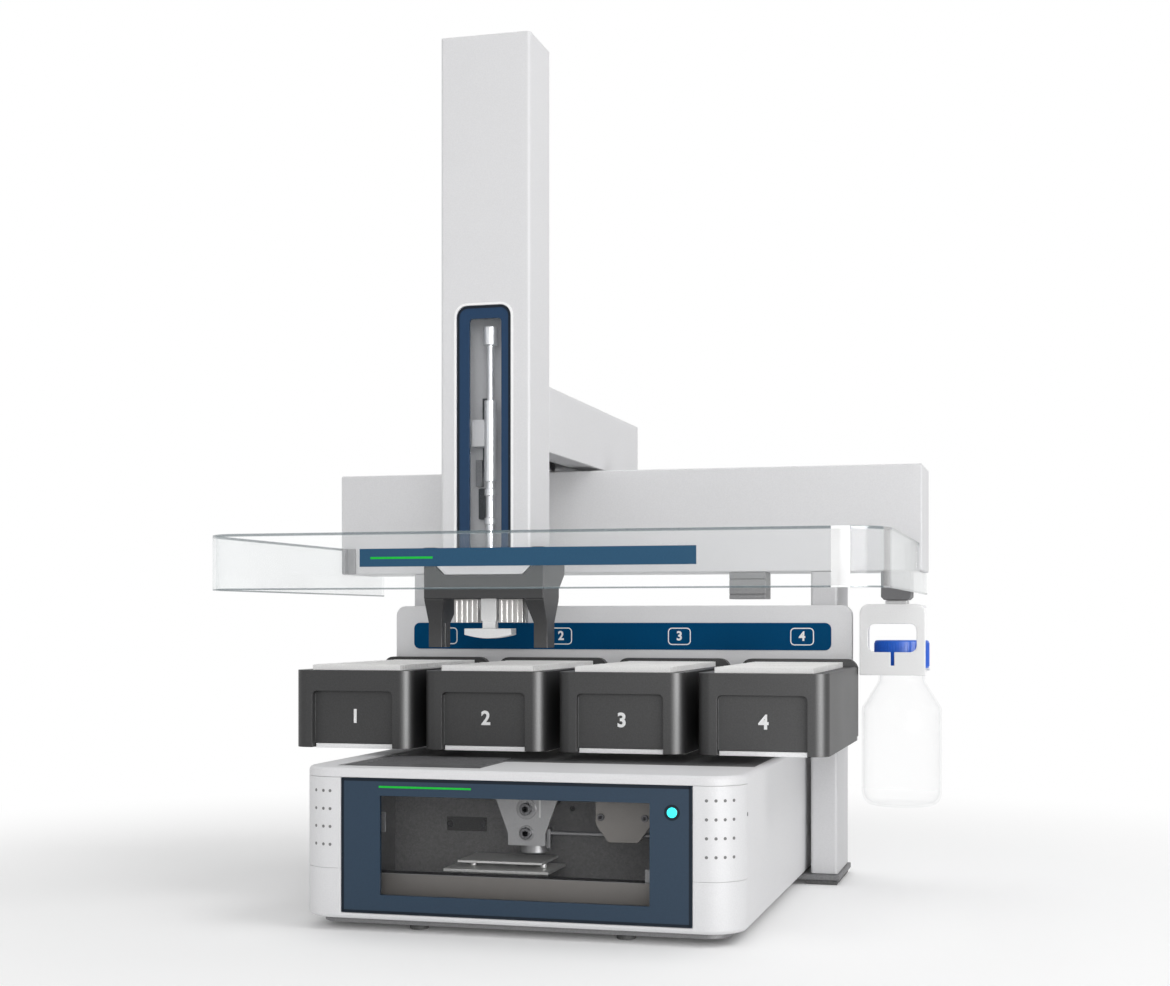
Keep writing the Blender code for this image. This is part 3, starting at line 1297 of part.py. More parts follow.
# Gripper: notched bar under the tower with two grooved guide legs, jaws and the presser foot
def make_gripper(stage):
    notch = TOWER_BOTTOM - FIT
    chamfer = COLLAR_CHAMFER
    foot = BUMP_INNER - chamfer
    outline = [
        (-GRIPPER_HALF, GRIPPER_TOP),
        (-GRIPPER_HALF, GRIPPER_BAR_BOTTOM),
        (GRIPPER_HALF, GRIPPER_BAR_BOTTOM),
        (GRIPPER_HALF, GRIPPER_TOP),
        (BUMP_INNER, GRIPPER_TOP),
        (BUMP_INNER, notch + chamfer),
        (foot, notch),
        (-foot, notch),
        (-BUMP_INNER, notch + chamfer),
        (-BUMP_INNER, GRIPPER_TOP),
    ]
    outline = [(TOWER_X + x, z) for x, z in outline]
    frame = plate("gripper_frame", outline, GRIPPER_FRONT, GRIPPER_REAR, GRIPPER_GREY, stage)
    start = TOWER_X - GRIPPER_HALF - OVERRUN
    end = TOWER_X + GRIPPER_HALF + OVERRUN
    slope = [
        (GRIPPER_REAR + OVERRUN, GRIPPER_SLOPE_TOP),
        (GRIPPER_REAR, GRIPPER_SLOPE_TOP),
        (GRIPPER_WAIST_REAR, GRIPPER_SLOPE_BOTTOM),
        (GRIPPER_WAIST_REAR, GRIPPER_BAR_BOTTOM - OVERRUN),
        (GRIPPER_REAR + OVERRUN, GRIPPER_BAR_BOTTOM - OVERRUN),
    ]
    tool = plate("gripper_slope", slope, start, end, None, stage, True, True)
    boolean(frame, tool, "DIFFERENCE")
    root_front = GRIPPER_FRONT + GUIDE_LEG_STEP
    root_rear = GRIPPER_WAIST_REAR - GUIDE_LEG_STEP
    for sign in (-1, 1):
        leg = [
            (LEG_GAP_HALF - GUIDE_LEG_FLARE, GRIPPER_BAR_BOTTOM + OVERRUN),
            (LEG_GAP_HALF - GUIDE_LEG_FLARE, GRIPPER_BAR_BOTTOM),
            (LEG_GAP_HALF, GRIPPER_BAR_BOTTOM - GUIDE_LEG_TAPER),
            (LEG_GAP_HALF, GUIDE_LEG_BOTTOM),
            (GRIPPER_HALF, GUIDE_LEG_BOTTOM),
            (GRIPPER_HALF, GRIPPER_BAR_BOTTOM + OVERRUN),
        ]
        leg = [(TOWER_X + sign * x, z) for x, z in leg]
        side = "left" if sign < 0 else "right"
        tool = plate(f"guide_leg_{side}", leg, root_front, root_rear, None, stage, True)
        boolean(frame, tool, "UNION")
        ends = sorted((sign * (LEG_GAP_HALF - OVERRUN), sign * (LEG_GAP_HALF + GUIDE_GROOVE_DEPTH)))
        cut_block(
            frame,
            (TOWER_X + ends[0], SHAFT_Y - GUIDE_GROOVE / 2, GUIDE_LEG_BOTTOM - OVERRUN),
            (TOWER_X + ends[1], SHAFT_Y + GUIDE_GROOVE / 2, GRIPPER_BAR_BOTTOM - GUIDE_LEG_TAPER),
        )
    low = GUIDE_LEG_BOTTOM - OVERRUN
    root = GRIPPER_BAR_BOTTOM - GUIDE_LEG_ROOT
    knee = GRIPPER_BAR_BOTTOM - GUIDE_LEG_TAPER
    for name, outer, rooted, edge in (
        ("leg_slope_front", GRIPPER_FRONT - OVERRUN, root_front, GUIDE_LEG_FRONT),
        ("leg_slope_rear", GRIPPER_WAIST_REAR + OVERRUN, root_rear, GUIDE_LEG_REAR),
    ):
        slope = [(outer, low), (edge, low), (edge, knee), (rooted, root), (outer, root)]
        tool = plate(name, slope, start, end, None, stage, True, True)
        boolean(frame, tool, "DIFFERENCE")
    cut_block(
        frame,
        (TOWER_X - STEM_HALF - FIT, STEM_FRONT - FIT, GRIPPER_BAR_BOTTOM - OVERRUN),
        (TOWER_X + STEM_HALF + FIT, STEM_REAR + FIT, GRIPPER_BAR_BOTTOM + STEM_BORE_HEIGHT),
    )
    top = GRIPPER_BAR_BOTTOM - FIT
    for side, sign in (("left", -1), ("right", 1)):
        ends = sorted((sign * JAW_INNER, sign * JAW_OUTER))
        place = (TOWER_X + sign * JAW_INNER, SHAFT_Y, top)
        joint = empty(f"jaw_slide_{side}", place, stage)
        jaw = block(
            f"jaw_{side}",
            (TOWER_X + ends[0], JAW_FRONT, JAW_BOTTOM),
            (TOWER_X + ends[1], JAW_REAR, top),
            GREY_METAL,
            joint,
        )
        cut_block(
            jaw,
            (TOWER_X + ends[0] - OVERRUN, SHAFT_Y - JAW_SLOT / 2, JAW_BOTTOM - OVERRUN),
            (TOWER_X + ends[1] + OVERRUN, SHAFT_Y + JAW_SLOT / 2, JAW_BOTTOM + JAW_SLOT_HEIGHT),
        )
        pitch = (JAW_OUTER - JAW_INNER) / (2 * JAW_RIBS + 1)
        for rib in range(JAW_RIBS):
            start = TOWER_X + ends[0] + (2 * rib + 1) * pitch
            cut_block(
                jaw,
                (start, JAW_FRONT - OVERRUN, JAW_BOTTOM - OVERRUN),
                (start + pitch, JAW_FRONT + JAW_RIB_DEPTH, top - JAW_RIB_DEPTH),
            )
    joint = empty("presser_slide", (TOWER_X, SHAFT_Y, FOOT_TOP), stage)
    sole = [
        (-FOOT_HALF_WIDTH, FOOT_TOP),
        (-FOOT_HALF_WIDTH, FOOT_SIDE),
    ]
    for step in range(1, 2 * CORNER_STEPS):
        share = step / (2 * CORNER_STEPS)
        drop = (FOOT_SIDE - FOOT_BOTTOM) * math.sin(math.pi * share)
        sole.append((FOOT_HALF_WIDTH * (2 * share - 1), FOOT_SIDE - drop))
    sole.append((FOOT_HALF_WIDTH, FOOT_SIDE))
    sole.append((FOOT_HALF_WIDTH, FOOT_TOP))
    sole = [(TOWER_X + x, z) for x, z in sole]
    presser = plate("presser_foot", sole, FOOT_FRONT, FOOT_REAR, WHITE_PLASTIC, joint)
    join_block(
        presser,
        (TOWER_X - STEM_HALF, STEM_FRONT, STEM_STEP),
        (TOWER_X + STEM_HALF, STEM_REAR, GRIPPER_BAR_BOTTOM + STEM_BURIED),
    )
    join_block(
        presser,
        (TOWER_X - STEM_NECK_HALF, STEM_FRONT + STEM_NECK_INSET, (FOOT_TOP + FOOT_SIDE) / 2),
        (TOWER_X + STEM_NECK_HALF, STEM_REAR - STEM_NECK_INSET, (STEM_STEP + GRIPPER_BAR_BOTTOM) / 2),
    )


# Racks with their card packs, each on its own slide
def make_rack(number):
    left = RACK_LEFT + (number - 1) * RACK_PITCH
    right = left + RACK_WIDTH
    middle = (left + right) / 2
    joint = empty(f"rack_slide_{number}", (middle, RACK_FRONT, RACK_BOTTOM), BENCH)
    rack = block(
        f"rack_{number}",
        (left, RACK_FRONT, RACK_BOTTOM),
        (right, RACK_REAR, RACK_RIM),
        RACK_PLASTIC,
        joint,
        upright_rounds(RACK_CORNER),
    )
    join_block(
        rack,
        (left, RACK_REAR - RACK_REAR_WALL, RACK_RIM - 2 * RACK_REAR_CORNER),
        (right, RACK_REAR, RACK_REAR_TOP),
        top_rounds(RACK_REAR_CORNER),
    )
    cut_block(
        rack,
        (left - OVERRUN, RACK_FRONT + RACK_SKIRT, RACK_BOTTOM - OVERRUN),
        (right + OVERRUN, RACK_REAR + OVERRUN, CHANNEL_TOP),
    )
    cut_block(
        rack,
        (middle - RECESS_HALF, RACK_FRONT - OVERRUN, RACK_BOTTOM - OVERRUN),
        (middle + RECESS_HALF, RACK_FRONT + RACK_SKIRT + OVERRUN, CHANNEL_TOP),
    )
    cut_block(
        rack,
        (middle - RECESS_HALF, RACK_FRONT - OVERRUN, RACK_BOTTOM - OVERRUN),
        (middle + RECESS_HALF, RACK_FRONT + RECESS_DEPTH, RECESS_TOP),
        top_rounds(RECESS_CORNER, SMALL_STEPS),
    )
    pocket_half = CARD_WIDTH / 2 + CARD_SLACK
    pocket_front = RACK_FRONT + RECESS_DEPTH + RACK_FRONT_WALL
    pocket_rear = RACK_REAR - RACK_REAR_WALL
    cut_block(
        rack,
        (middle - pocket_half, pocket_front, POCKET_FLOOR),
        (middle + pocket_half, pocket_rear, RACK_REAR_TOP + OVERRUN),
    )
    block(
        f"card_pack_{number}",
        (middle - CARD_WIDTH / 2, pocket_front + CARD_SLACK, POCKET_FLOOR + FIT),
        (middle + CARD_WIDTH / 2, pocket_rear - CARD_SLACK, POCKET_FLOOR + FIT + CARD_HEIGHT),
        CARD,
        joint,
    )
    return middle


def make_rack_area():
    middles = [make_rack(number) for number in range(1, RACK_COUNT + 1)]
    front = RACK_REAR + FIT
    rear = GANTRY_FRONT - FIT
    tongue_top = CHANNEL_TOP - FIT
    shelf = block(
        "rack_shelf",
        (-PANEL_HALF, front, TONGUE_BOTTOM),
        (PANEL_HALF, rear, tongue_top),
        HOUSING,
    )
    wide = RACK_WIDTH / 2 - TONGUE_SIDE_INSET
    for middle in middles:
        join_block(
            shelf,
            (middle - TONGUE_HALF, RACK_FRONT + RECESS_DEPTH, TONGUE_BOTTOM),
            (middle + TONGUE_HALF, RACK_FRONT + RACK_SKIRT + OVERRUN, tongue_top),
        )
        join_block(
            shelf,
            (middle - wide, RACK_FRONT + RACK_SKIRT + FIT, TONGUE_BOTTOM),
            (middle + wide, front + OVERRUN, tongue_top),
        )
    panel = block(
        "rack_panel",
        (-PANEL_HALF, front, tongue_top + FIT),
        (PANEL_HALF, rear, PANEL_TOP),
        HOUSING,
        None,
        top_rounds(PANEL_CORNER),
    )
    cut_block(
        panel,
        (-PANEL_HALF + PANEL_RIM, front + PANEL_SKIN, tongue_top + PANEL_RIM),
        (PANEL_HALF - PANEL_RIM, rear + OVERRUN, PANEL_TOP - PANEL_RIM),
        top_rounds(PANEL_CORNER - PANEL_RIM, SMALL_STEPS),
    )
    block(
        "label_strip",
        (-LABEL_HALF, front - FIT - FILM, LABEL_BOTTOM),
        (LABEL_HALF, front - FIT, LABEL_TOP),
        DEEP_BLUE,
        None,
        [(1, {}, LABEL_CORNER, CORNER_STEPS)],
    )


# Clear shield round the front of the travel, held to the beam's front by two angle brackets
def make_shield():
    shield = block(
        "shield",
        (-SHIELD_HALF, SHIELD_FRONT, SHIELD_BOTTOM),
        (SHIELD_HALF, SHIELD_REAR, SHIELD_TOP),
        ACRYLIC,
        None,
        upright_rounds(SHIELD_CORNER, SHIELD_CORNER_STEPS),
    )
    inner = SHIELD_HALF - SHIELD_WALL
    cut_block(
        shield,
        (-inner, SHIELD_FRONT + SHIELD_WALL, SHIELD_BOTTOM - OVERRUN),
        (inner, SHIELD_REAR + OVERRUN, SHIELD_TOP + OVERRUN),
        upright_rounds(SHIELD_CORNER - SHIELD_WALL, SHIELD_CORNER_STEPS),
    )
    cut_block(
        shield,
        (-SHIELD_HALF - OVERRUN, GANTRY_FRONT - FIT, BEAM_BOTTOM - FIT),
        (SHIELD_HALF + OVERRUN, SHIELD_REAR + OVERRUN, SHIELD_TOP + OVERRUN),
    )
    block(
        "shield_strip",
        (-STRIP_HALF, SHIELD_FRONT - FIT - FILM, STRIP_BOTTOM),
        (STRIP_HALF, SHIELD_FRONT - FIT, STRIP_TOP),
        SLATE_BLUE,
    )
    for side, sign in (("left", -1), ("right", 1)):
        outer = inner - FIT
        ends = sorted((sign * outer, sign * (outer - BRACKET_WIDTH)))
        wall = sorted((sign * outer, sign * (outer - BRACKET_THICK)))
        rear = GANTRY_FRONT - FIT
        bracket = block(
            f"shield_bracket_{side}",
            (ends[0], rear - BRACKET_THICK, BEAM_BOTTOM + FIT),
            (ends[1], rear, SHIELD_TOP - FIT),
            GREY_METAL,
        )
        join_block(
            bracket,
            (wall[0], rear - BRACKET_LENGTH, BEAM_BOTTOM + FIT),
            (wall[1], rear - BRACKET_THICK / 2, SHIELD_TOP - FIT),
        )


# Reader block and bottle holder under the beam, the bottle and its cap
def make_bottle_station():
    top = BEAM_BOTTOM - FIT
    reader = block(
        "card_reader",
        (READER_LEFT, GANTRY_FRONT, READER_BOTTOM),
        (READER_RIGHT, GANTRY_FRONT + READER_DEPTH, top),
        GREY_METAL,
    )
    pitch = (top - READER_BOTTOM) / (2 * READER_RIDGES + 1)
    for ridge in range(READER_RIDGES):
        level = READER_BOTTOM + (2 * ridge + 1) * pitch
        cut_block(
            reader,
            (READER_LEFT - OVERRUN, GANTRY_FRONT - OVERRUN, level),
            (READER_RIGHT + OVERRUN, GANTRY_FRONT + READER_GROOVE, level + READER_GROOVE),
        )
    block(
        "bottle_hanger",
        (HANGER_LEFT, GANTRY_FRONT, HANGER_BOTTOM),
        (HANGER_RIGHT, GANTRY_FRONT + HANGER_DEPTH, top),
        GREY_METAL,
        None,
        [(1, {2: -1}, HOLDER_WALL, 1)],
    )
    holder = block(
        "bottle_holder",
        (HOLDER_LEFT, HOLDER_FRONT, HOLDER_BOTTOM),
        (HOLDER_RIGHT, HOLDER_REAR, HOLDER_TOP),
        WHITE_PLASTIC,
        None,
        top_rounds(HOLDER_CORNER),
    )
    cut_block(
        holder,
        (HOLDER_LEFT + HOLDER_WALL, HOLDER_FRONT + HOLDER_WALL, HOLDER_FLOOR_TOP),
        (HOLDER_RIGHT + OVERRUN, HOLDER_REAR + OVERRUN, HOLDER_TOP - HOLDER_WALL),
    )
    cut_block(
        holder,
        (HOLDER_LEFT + HOLDER_WALL, HOLDER_FRONT + HOLDER_WALL, HOLDER_BOTTOM - OVERRUN),
        (HOLDER_RIGHT + OVERRUN, HOLDER_REAR + OVERRUN, HOLDER_FLOOR_TOP - HOLDER_WALL),
    )
    cut_block(
        holder,
        (HOLDER_WINDOW_LEFT, HOLDER_FRONT - OVERRUN, HOLDER_WINDOW_BOTTOM),
        (HOLDER_WINDOW_RIGHT, HOLDER_FRONT + HOLDER_WALL + OVERRUN, HOLDER_WINDOW_TOP),
        [(1, {}, HOLDER_WINDOW_CORNER, SMALL_STEPS)],
    )
    slot_x = (HOLDER_WINDOW_LEFT + HOLDER_WINDOW_RIGHT) / 2
    cut_block(
        holder,
        (slot_x - HOLDER_SLOT_WIDTH / 2, HOLDER_FRONT - OVERRUN, HOLDER_SLOT_BOTTOM),
        (slot_x + HOLDER_SLOT_WIDTH / 2, HOLDER_FRONT + HOLDER_WALL + OVERRUN, HOLDER_WINDOW_BOTTOM + OVERRUN),
    )
    neck_bore = BOTTLE_NECK_RADIUS + 2 * FIT
    cut_round(
        holder,
        (BOTTLE_X, BOTTLE_Y, HOLDER_BOTTOM - OVERRUN),
        (BOTTLE_X, BOTTLE_Y, HOLDER_FLOOR_TOP + OVERRUN),
        neck_bore,
    )
    cut_block(
        holder,
        (BOTTLE_X, BOTTLE_Y - neck_bore, HOLDER_BOTTOM - OVERRUN),
        (HOLDER_RIGHT + OVERRUN, BOTTLE_Y + neck_bore, HOLDER_FLOOR_TOP + OVERRUN),
    )
    join_block(
        holder,
        (HANGER_LEFT + HOLDER_NECK_INSET, GANTRY_FRONT + HOLDER_NECK_INSET, HOLDER_TOP - HOLDER_WALL / 2),
        (
            HANGER_RIGHT - HOLDER_NECK_INSET,
            GANTRY_FRONT + HANGER_DEPTH - HOLDER_NECK_INSET,
            HANGER_BOTTOM - FIT,
        ),
    )
    joint = empty("bottle_slide", (BOTTLE_X, BOTTLE_Y, BOTTLE_BOTTOM), BENCH)
    outer = [(BOTTLE_NECK_RADIUS, BOTTLE_NECK_TOP), (BOTTLE_NECK_RADIUS, BOTTLE_NECK_FOOT)]
    for step in range(CORNER_STEPS + 1):
        turn = step / CORNER_STEPS
        radius = BOTTLE_NECK_RADIUS + (BOTTLE_RADIUS - BOTTLE_NECK_RADIUS) * math.sin(turn * math.pi / 2)
        height = BOTTLE_SHOULDER + (BOTTLE_NECK_FOOT - BOTTLE_SHOULDER) * math.cos(turn * math.pi / 2)
        if step:
            outer.append((radius, height))
    for step in range(CORNER_STEPS + 1):
        turn = step / CORNER_STEPS * math.pi / 2
        radius = BOTTLE_RADIUS - BOTTLE_EDGE * (1 - math.cos(turn))
        outer.append((radius, BOTTLE_BOTTOM + BOTTLE_EDGE * (1 - math.sin(turn))))
    outer.append((0, BOTTLE_BOTTOM))
    inner = [(0, BOTTLE_BOTTOM + BOTTLE_WALL)]
    for radius, height in reversed(outer[:-1]):
        inner.append((radius - BOTTLE_WALL, max(height, BOTTLE_BOTTOM + BOTTLE_WALL)))
    profile = [(r, z - BOTTLE_BOTTOM) for r, z in outer[:-1] + [outer[-1]] + inner]
    profile.append(profile[0])
    turned("wash_bottle", profile, (BOTTLE_X, BOTTLE_Y, BOTTLE_BOTTOM), BOTTLE_PLASTIC, joint, BOTTLE_STEPS)
    turn = empty("cap_turn", (BOTTLE_X, BOTTLE_Y, CAP_BOTTOM), joint)
    bore = BOTTLE_NECK_RADIUS + FIT
    cap = [
        (0, CAP_TOP),
        (CAP_RADIUS, CAP_TOP),
        (CAP_RADIUS, CAP_BOTTOM),
        (bore, CAP_BOTTOM),
        (bore, CAP_TOP - CAP_WALL),
        (0, CAP_TOP - CAP_WALL),
    ]
    cap = [(r, z - CAP_BOTTOM) for r, z in cap]
    turned("bottle_cap", cap, (BOTTLE_X, BOTTLE_Y, CAP_BOTTOM), CAP_BLUE, turn, BOTTLE_STEPS)


make_base_floor()
make_base_shell()
make_deck_tray()
make_chamber()
make_guide_rod()
make_card_table()
make_clamp()
make_shuttle()
make_rear_panel()
make_front_cover()
make_gantry()
X_STAGE = make_carriage()
Y_STAGE = empty("y_stage", (TOWER_X, RAIL_Y, ARM_BOTTOM), X_STAGE)
make_arm(Y_STAGE)
make_tower(Y_STAGE)
Z_STAGE = empty("z_stage", (TOWER_X, SHAFT_Y, GRIPPER_BAR_BOTTOM), Y_STAGE)
make_shaft(Z_STAGE)
make_gripper(Z_STAGE)
make_rack_area()
make_shield()
make_bottle_station()
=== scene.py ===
import json
import math
import random

import bmesh
import bpy
from mathutils import Matrix, Vector

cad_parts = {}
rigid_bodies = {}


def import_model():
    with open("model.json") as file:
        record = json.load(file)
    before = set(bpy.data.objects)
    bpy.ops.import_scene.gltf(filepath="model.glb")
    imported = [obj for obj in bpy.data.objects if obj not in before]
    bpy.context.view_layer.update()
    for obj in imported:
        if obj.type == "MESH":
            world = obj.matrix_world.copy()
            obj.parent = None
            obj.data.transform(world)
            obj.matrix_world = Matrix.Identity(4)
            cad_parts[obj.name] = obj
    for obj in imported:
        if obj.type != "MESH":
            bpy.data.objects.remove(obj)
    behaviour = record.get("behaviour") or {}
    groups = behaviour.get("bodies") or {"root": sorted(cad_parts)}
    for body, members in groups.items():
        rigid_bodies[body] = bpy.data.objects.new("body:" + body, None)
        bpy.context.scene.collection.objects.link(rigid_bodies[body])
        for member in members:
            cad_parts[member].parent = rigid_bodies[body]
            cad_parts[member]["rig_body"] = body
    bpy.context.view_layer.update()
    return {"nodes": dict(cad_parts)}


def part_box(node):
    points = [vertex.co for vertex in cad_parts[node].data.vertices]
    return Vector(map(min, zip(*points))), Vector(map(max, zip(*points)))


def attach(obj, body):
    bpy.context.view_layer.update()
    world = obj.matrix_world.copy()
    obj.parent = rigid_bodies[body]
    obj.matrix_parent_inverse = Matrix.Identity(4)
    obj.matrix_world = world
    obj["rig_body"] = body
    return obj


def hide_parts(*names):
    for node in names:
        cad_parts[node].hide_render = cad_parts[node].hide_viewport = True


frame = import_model()

# Painted housing of the base.
# It is folded and welded sheet steel, powder coated in a light grey with a fine orange peel, with
# generous rounded edges round its top and its foot; the pan, ground plate and feet are under it.
MIDDLE_X = -0.008925
FRONT_Y = -0.2742


def at(x, y, z):
    """A point given from the middle of the base's front edge."""
    return Vector((x + MIDDLE_X, y + FRONT_Y, z))


def surface(name, colour, roughness, grain=0.05, size=0.0012, bump=0.12, tone=0.03, metallic=0.0, gloss=0.5):
    """A moulded or painted finish: fine grain, slow tone changes, and bump and gloss that follow them."""
    material = bpy.data.materials.new(name)
    material.use_nodes = True
    nodes = material.node_tree.nodes
    link = material.node_tree.links.new
    shader = nodes["Principled BSDF"]
    shader.inputs["Metallic"].default_value = metallic
    shader.inputs["Specular IOR Level"].default_value = gloss
    place = nodes.new("ShaderNodeTexCoord")
    fine = nodes.new("ShaderNodeTexNoise")
    fine.inputs["Scale"].default_value = 1 / size
    fine.inputs["Detail"].default_value = 3
    link(place.outputs["Object"], fine.inputs["Vector"])
    broad = nodes.new("ShaderNodeTexNoise")
    broad.inputs["Scale"].default_value = 7
    broad.inputs["Detail"].default_value = 2
    link(place.outputs["Object"], broad.inputs["Vector"])
    ramp = nodes.new("ShaderNodeValToRGB")
    ramp.color_ramp.elements[0].position = 0.32
    ramp.color_ramp.elements[1].position = 0.68
    ramp.color_ramp.elements[0].color = (*[c * (1 - grain) for c in colour], 1)
    ramp.color_ramp.elements[1].color = (*[min(c * (1 + grain), 1) for c in colour], 1)
    link(fine.outputs["Fac"], ramp.inputs["Fac"])
    drift = nodes.new("ShaderNodeMix")
    drift.data_type = "RGBA"
    drift.blend_type = "MULTIPLY"
    drift.inputs["B"].default_value = (1 - tone, 1 - tone, 1 - tone * 0.9, 1)
    link(broad.outputs["Fac"], drift.inputs["Factor"])
    link(ramp.outputs["Color"], drift.inputs["A"])
    link(drift.outputs["Result"], shader.inputs["Base Color"])
    sheen = nodes.new("ShaderNodeMapRange")
    spread = 0.06
    least = 0.02
    sheen.inputs["To Min"].default_value = max(roughness - spread, least)
    sheen.inputs["To Max"].default_value = roughness + spread
    link(broad.outputs["Fac"], sheen.inputs["Value"])
    link(sheen.outputs["Result"], shader.inputs["Roughness"])
    relief = nodes.new("ShaderNodeBump")
    relief.inputs["Strength"].default_value = bump
    relief.inputs["Distance"].default_value = 0.0002
    link(fine.outputs["Fac"], relief.inputs["Height"])
    link(relief.outputs["Normal"], shader.inputs["Normal"])
    return material


def finished(name, bm, material, body, nodes=(), smooth=35):
    """Makes a piece of a bmesh, shades it, and hands it to the frame."""
    mesh = bpy.data.meshes.new(name)
    bm.to_mesh(mesh)
    bm.free()
    mesh.materials.clear()
    mesh.materials.append(material)
    mesh.shade_smooth()
    mesh.set_sharp_from_angle(angle=math.radians(smooth))
    piece = bpy.data.objects.new(name, mesh)
    bpy.context.scene.collection.objects.link(piece)
    even = piece.modifiers.new("even shading", "WEIGHTED_NORMAL")
    even.keep_sharp = True
    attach(piece, body)
    if nodes:
        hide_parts(*nodes)
    return piece


def copied(node, whole=True):
    """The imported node's own mesh, joined up, and with its flat faces whole again unless told not to."""
    bm = bmesh.new()
    bm.from_mesh(frame["nodes"][node].data)
    bmesh.ops.remove_doubles(bm, verts=bm.verts, dist=0.000004)
    if whole:
        bmesh.ops.dissolve_limit(bm, angle_limit=math.radians(0.7), verts=bm.verts, edges=bm.edges)
    return bm


def eased(bm, width, steps=2, chosen=None, sharpest=40):
    """Rounds the sharp edges, or those whose middle is chosen."""
    edges = []
    for edge in bm.edges:
        if len(edge.link_faces) != 2 or edge.calc_face_angle(0) < math.radians(sharpest):
            continue
        if chosen is None or chosen((edge.verts[0].co + edge.verts[1].co) / 2, edge):
            edges.append(edge)
    bmesh.ops.bevel(
        bm,
        geom=edges,
        offset=width,
        segments=steps,
        profile=0.5,
        affect="EDGES",
        clamp_overlap=True,
        material=-1,
    )
    return bm


def dressed(node, material, ease=0.0004, chosen=None, wide=0.0, steps=4):
    """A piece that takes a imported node's place, with wide rounds where chosen and fine ones elsewhere."""
    bm = copied(node)
    if wide:
        eased(bm, wide, steps, chosen)
    if ease:
        eased(bm, ease)
    body = frame["nodes"][node]["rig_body"]
    return finished(node + "_finish", bm, material, body, (node,))


housing = surface(
    "housing paint",
    (0.725, 0.725, 0.735),
    0.46,
    grain=0.025,
    size=0.0011,
    bump=0.06,
    gloss=0.25,
)
rubber = surface("foot rubber", (0.06, 0.06, 0.06), 0.8, grain=0.3, size=0.002, bump=0.3)
BASE_HALF = 0.1885
CORNER_RADIUS = 0.0310
CORNER_X = BASE_HALF - CORNER_RADIUS
FOOT_RIM = 0.0102
TOP_RIM = 0.1355
FRAME_HALF = 0.1493
FRAME_FOOT = 0.0156
NEAR = 0.0001


def on_base_outline(point, edge):
    """Is this edge on the outer edge of the top or the bottom of the base?"""
    if abs(edge.verts[0].co.z - edge.verts[1].co.z) > NEAR:
        return False
    if FOOT_RIM <= point.z <= TOP_RIM:
        return False
    side = abs(point.x - MIDDLE_X)
    front = point.y - FRONT_Y
    if side > BASE_HALF - NEAR or front < NEAR:
        return True
    in_corner = side > CORNER_X - 5 * NEAR and front < CORNER_RADIUS + 5 * NEAR
    reach = math.hypot(side - CORNER_X, front - CORNER_RADIUS)
    return in_corner and reach > CORNER_RADIUS - 6 * NEAR


def round_the_frame(point, edge):
    """Is this edge the front rim of the opening that the blue frame stands in?"""
    side = abs(point.x - MIDDLE_X)
    upright = abs(side - FRAME_HALF) < 4 * NEAR
    below = side < FRAME_HALF + NEAR and point.z < FRAME_FOOT
    return point.y < at(0, 2 * NEAR, 0).y and (upright or below)


bm = copied("base_shell")
eased(bm, width=0.0038, steps=5, chosen=on_base_outline)
eased(bm, width=0.0013, steps=3, chosen=round_the_frame)
eased(bm, width=0.0005)
finished("base_shell_finish", bm, housing, "bench", ("base_shell",))
pan_paint = surface("pan paint", (0.22, 0.22, 0.225), 0.5, grain=0.1, size=0.0014, bump=0.2)
dressed("base_pan", pan_paint, ease=0.0006)
plate_paint = surface("plate paint", (0.13, 0.13, 0.135), 0.5, grain=0.15, size=0.0014, bump=0.25)
dressed("ground_plate", plate_paint, ease=0.0006)
for corner in ("front_left", "front_right", "rear_left", "rear_right"):
    dressed("foot_" + corner, rubber, ease=0.0006)

# Deck tray let into the top of the base.
# It is a dark structured sheet with shallow pressed ribs across its left part; a black strip along
# the front of that part is painted shade at the tray's front edge.
tray_paint = surface(
    "tray paint",
    (0.105, 0.105, 0.109),
    0.40,
    grain=0.20,
    size=0.0013,
    bump=0.35,
    gloss=0.4,
)
# Near black for the strip along the tray's front edge, which is painted shade.
tray_edge_shade = surface("tray edge painted shade", (0.045, 0.045, 0.048), 0.42, grain=0.22, size=0.0014, bump=0.35)
dressed("deck_tray", tray_paint, ease=0.0005)
RIBS = 7
RIB_PITCH = 0.0120
RIB_WIDTH = 0.0035
RIB_HEIGHT = 0.0007
RIB_SINK = 0.0010
FIRST_RIB = 0.0420
RIB_LEFT = 0.0140
RIB_RIGHT = 0.1220
EDGE_SHADE_STRIP = ((-0.1632, 0.0226, 0.1349), (-0.0372, 0.0330, 0.1355))


def brick(bm, low, high):
    """Adds a closed box between two corners."""
    low = Vector(low)
    high = Vector(high)
    size = Matrix.Diagonal((*(high - low), 1))
    bmesh.ops.create_cube(bm, size=1, matrix=Matrix.Translation((low + high) / 2) @ size)


def blocks(name, boxes, material, body, ease=0.0):
    """A piece made of boxes. Their corners are given from the middle of the base's front edge."""
    bm = bmesh.new()
    for low, high in boxes:
        brick(bm, at(*low), at(*high))
    if ease:
        eased(bm, ease)
    return finished(name, bm, material, body, ())


tray_low, tray_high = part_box("deck_tray")
bm = bmesh.new()
for rib in range(RIBS):
    y = tray_low.y + FIRST_RIB + rib * RIB_PITCH
    low = (tray_low.x + RIB_LEFT, y, tray_high.z - RIB_SINK)
    high = (tray_low.x + RIB_RIGHT, y + RIB_WIDTH, tray_high.z + RIB_HEIGHT)
    brick(bm, low, high)
eased(bm, width=0.0006)
finished("deck_tray_ribs", bm, tray_paint, "bench", ())
# A black strip along the front edge of the ribbed part: painted shade.
blocks("deck_tray_edge_shade", (EDGE_SHADE_STRIP,), tray_edge_shade, "bench")
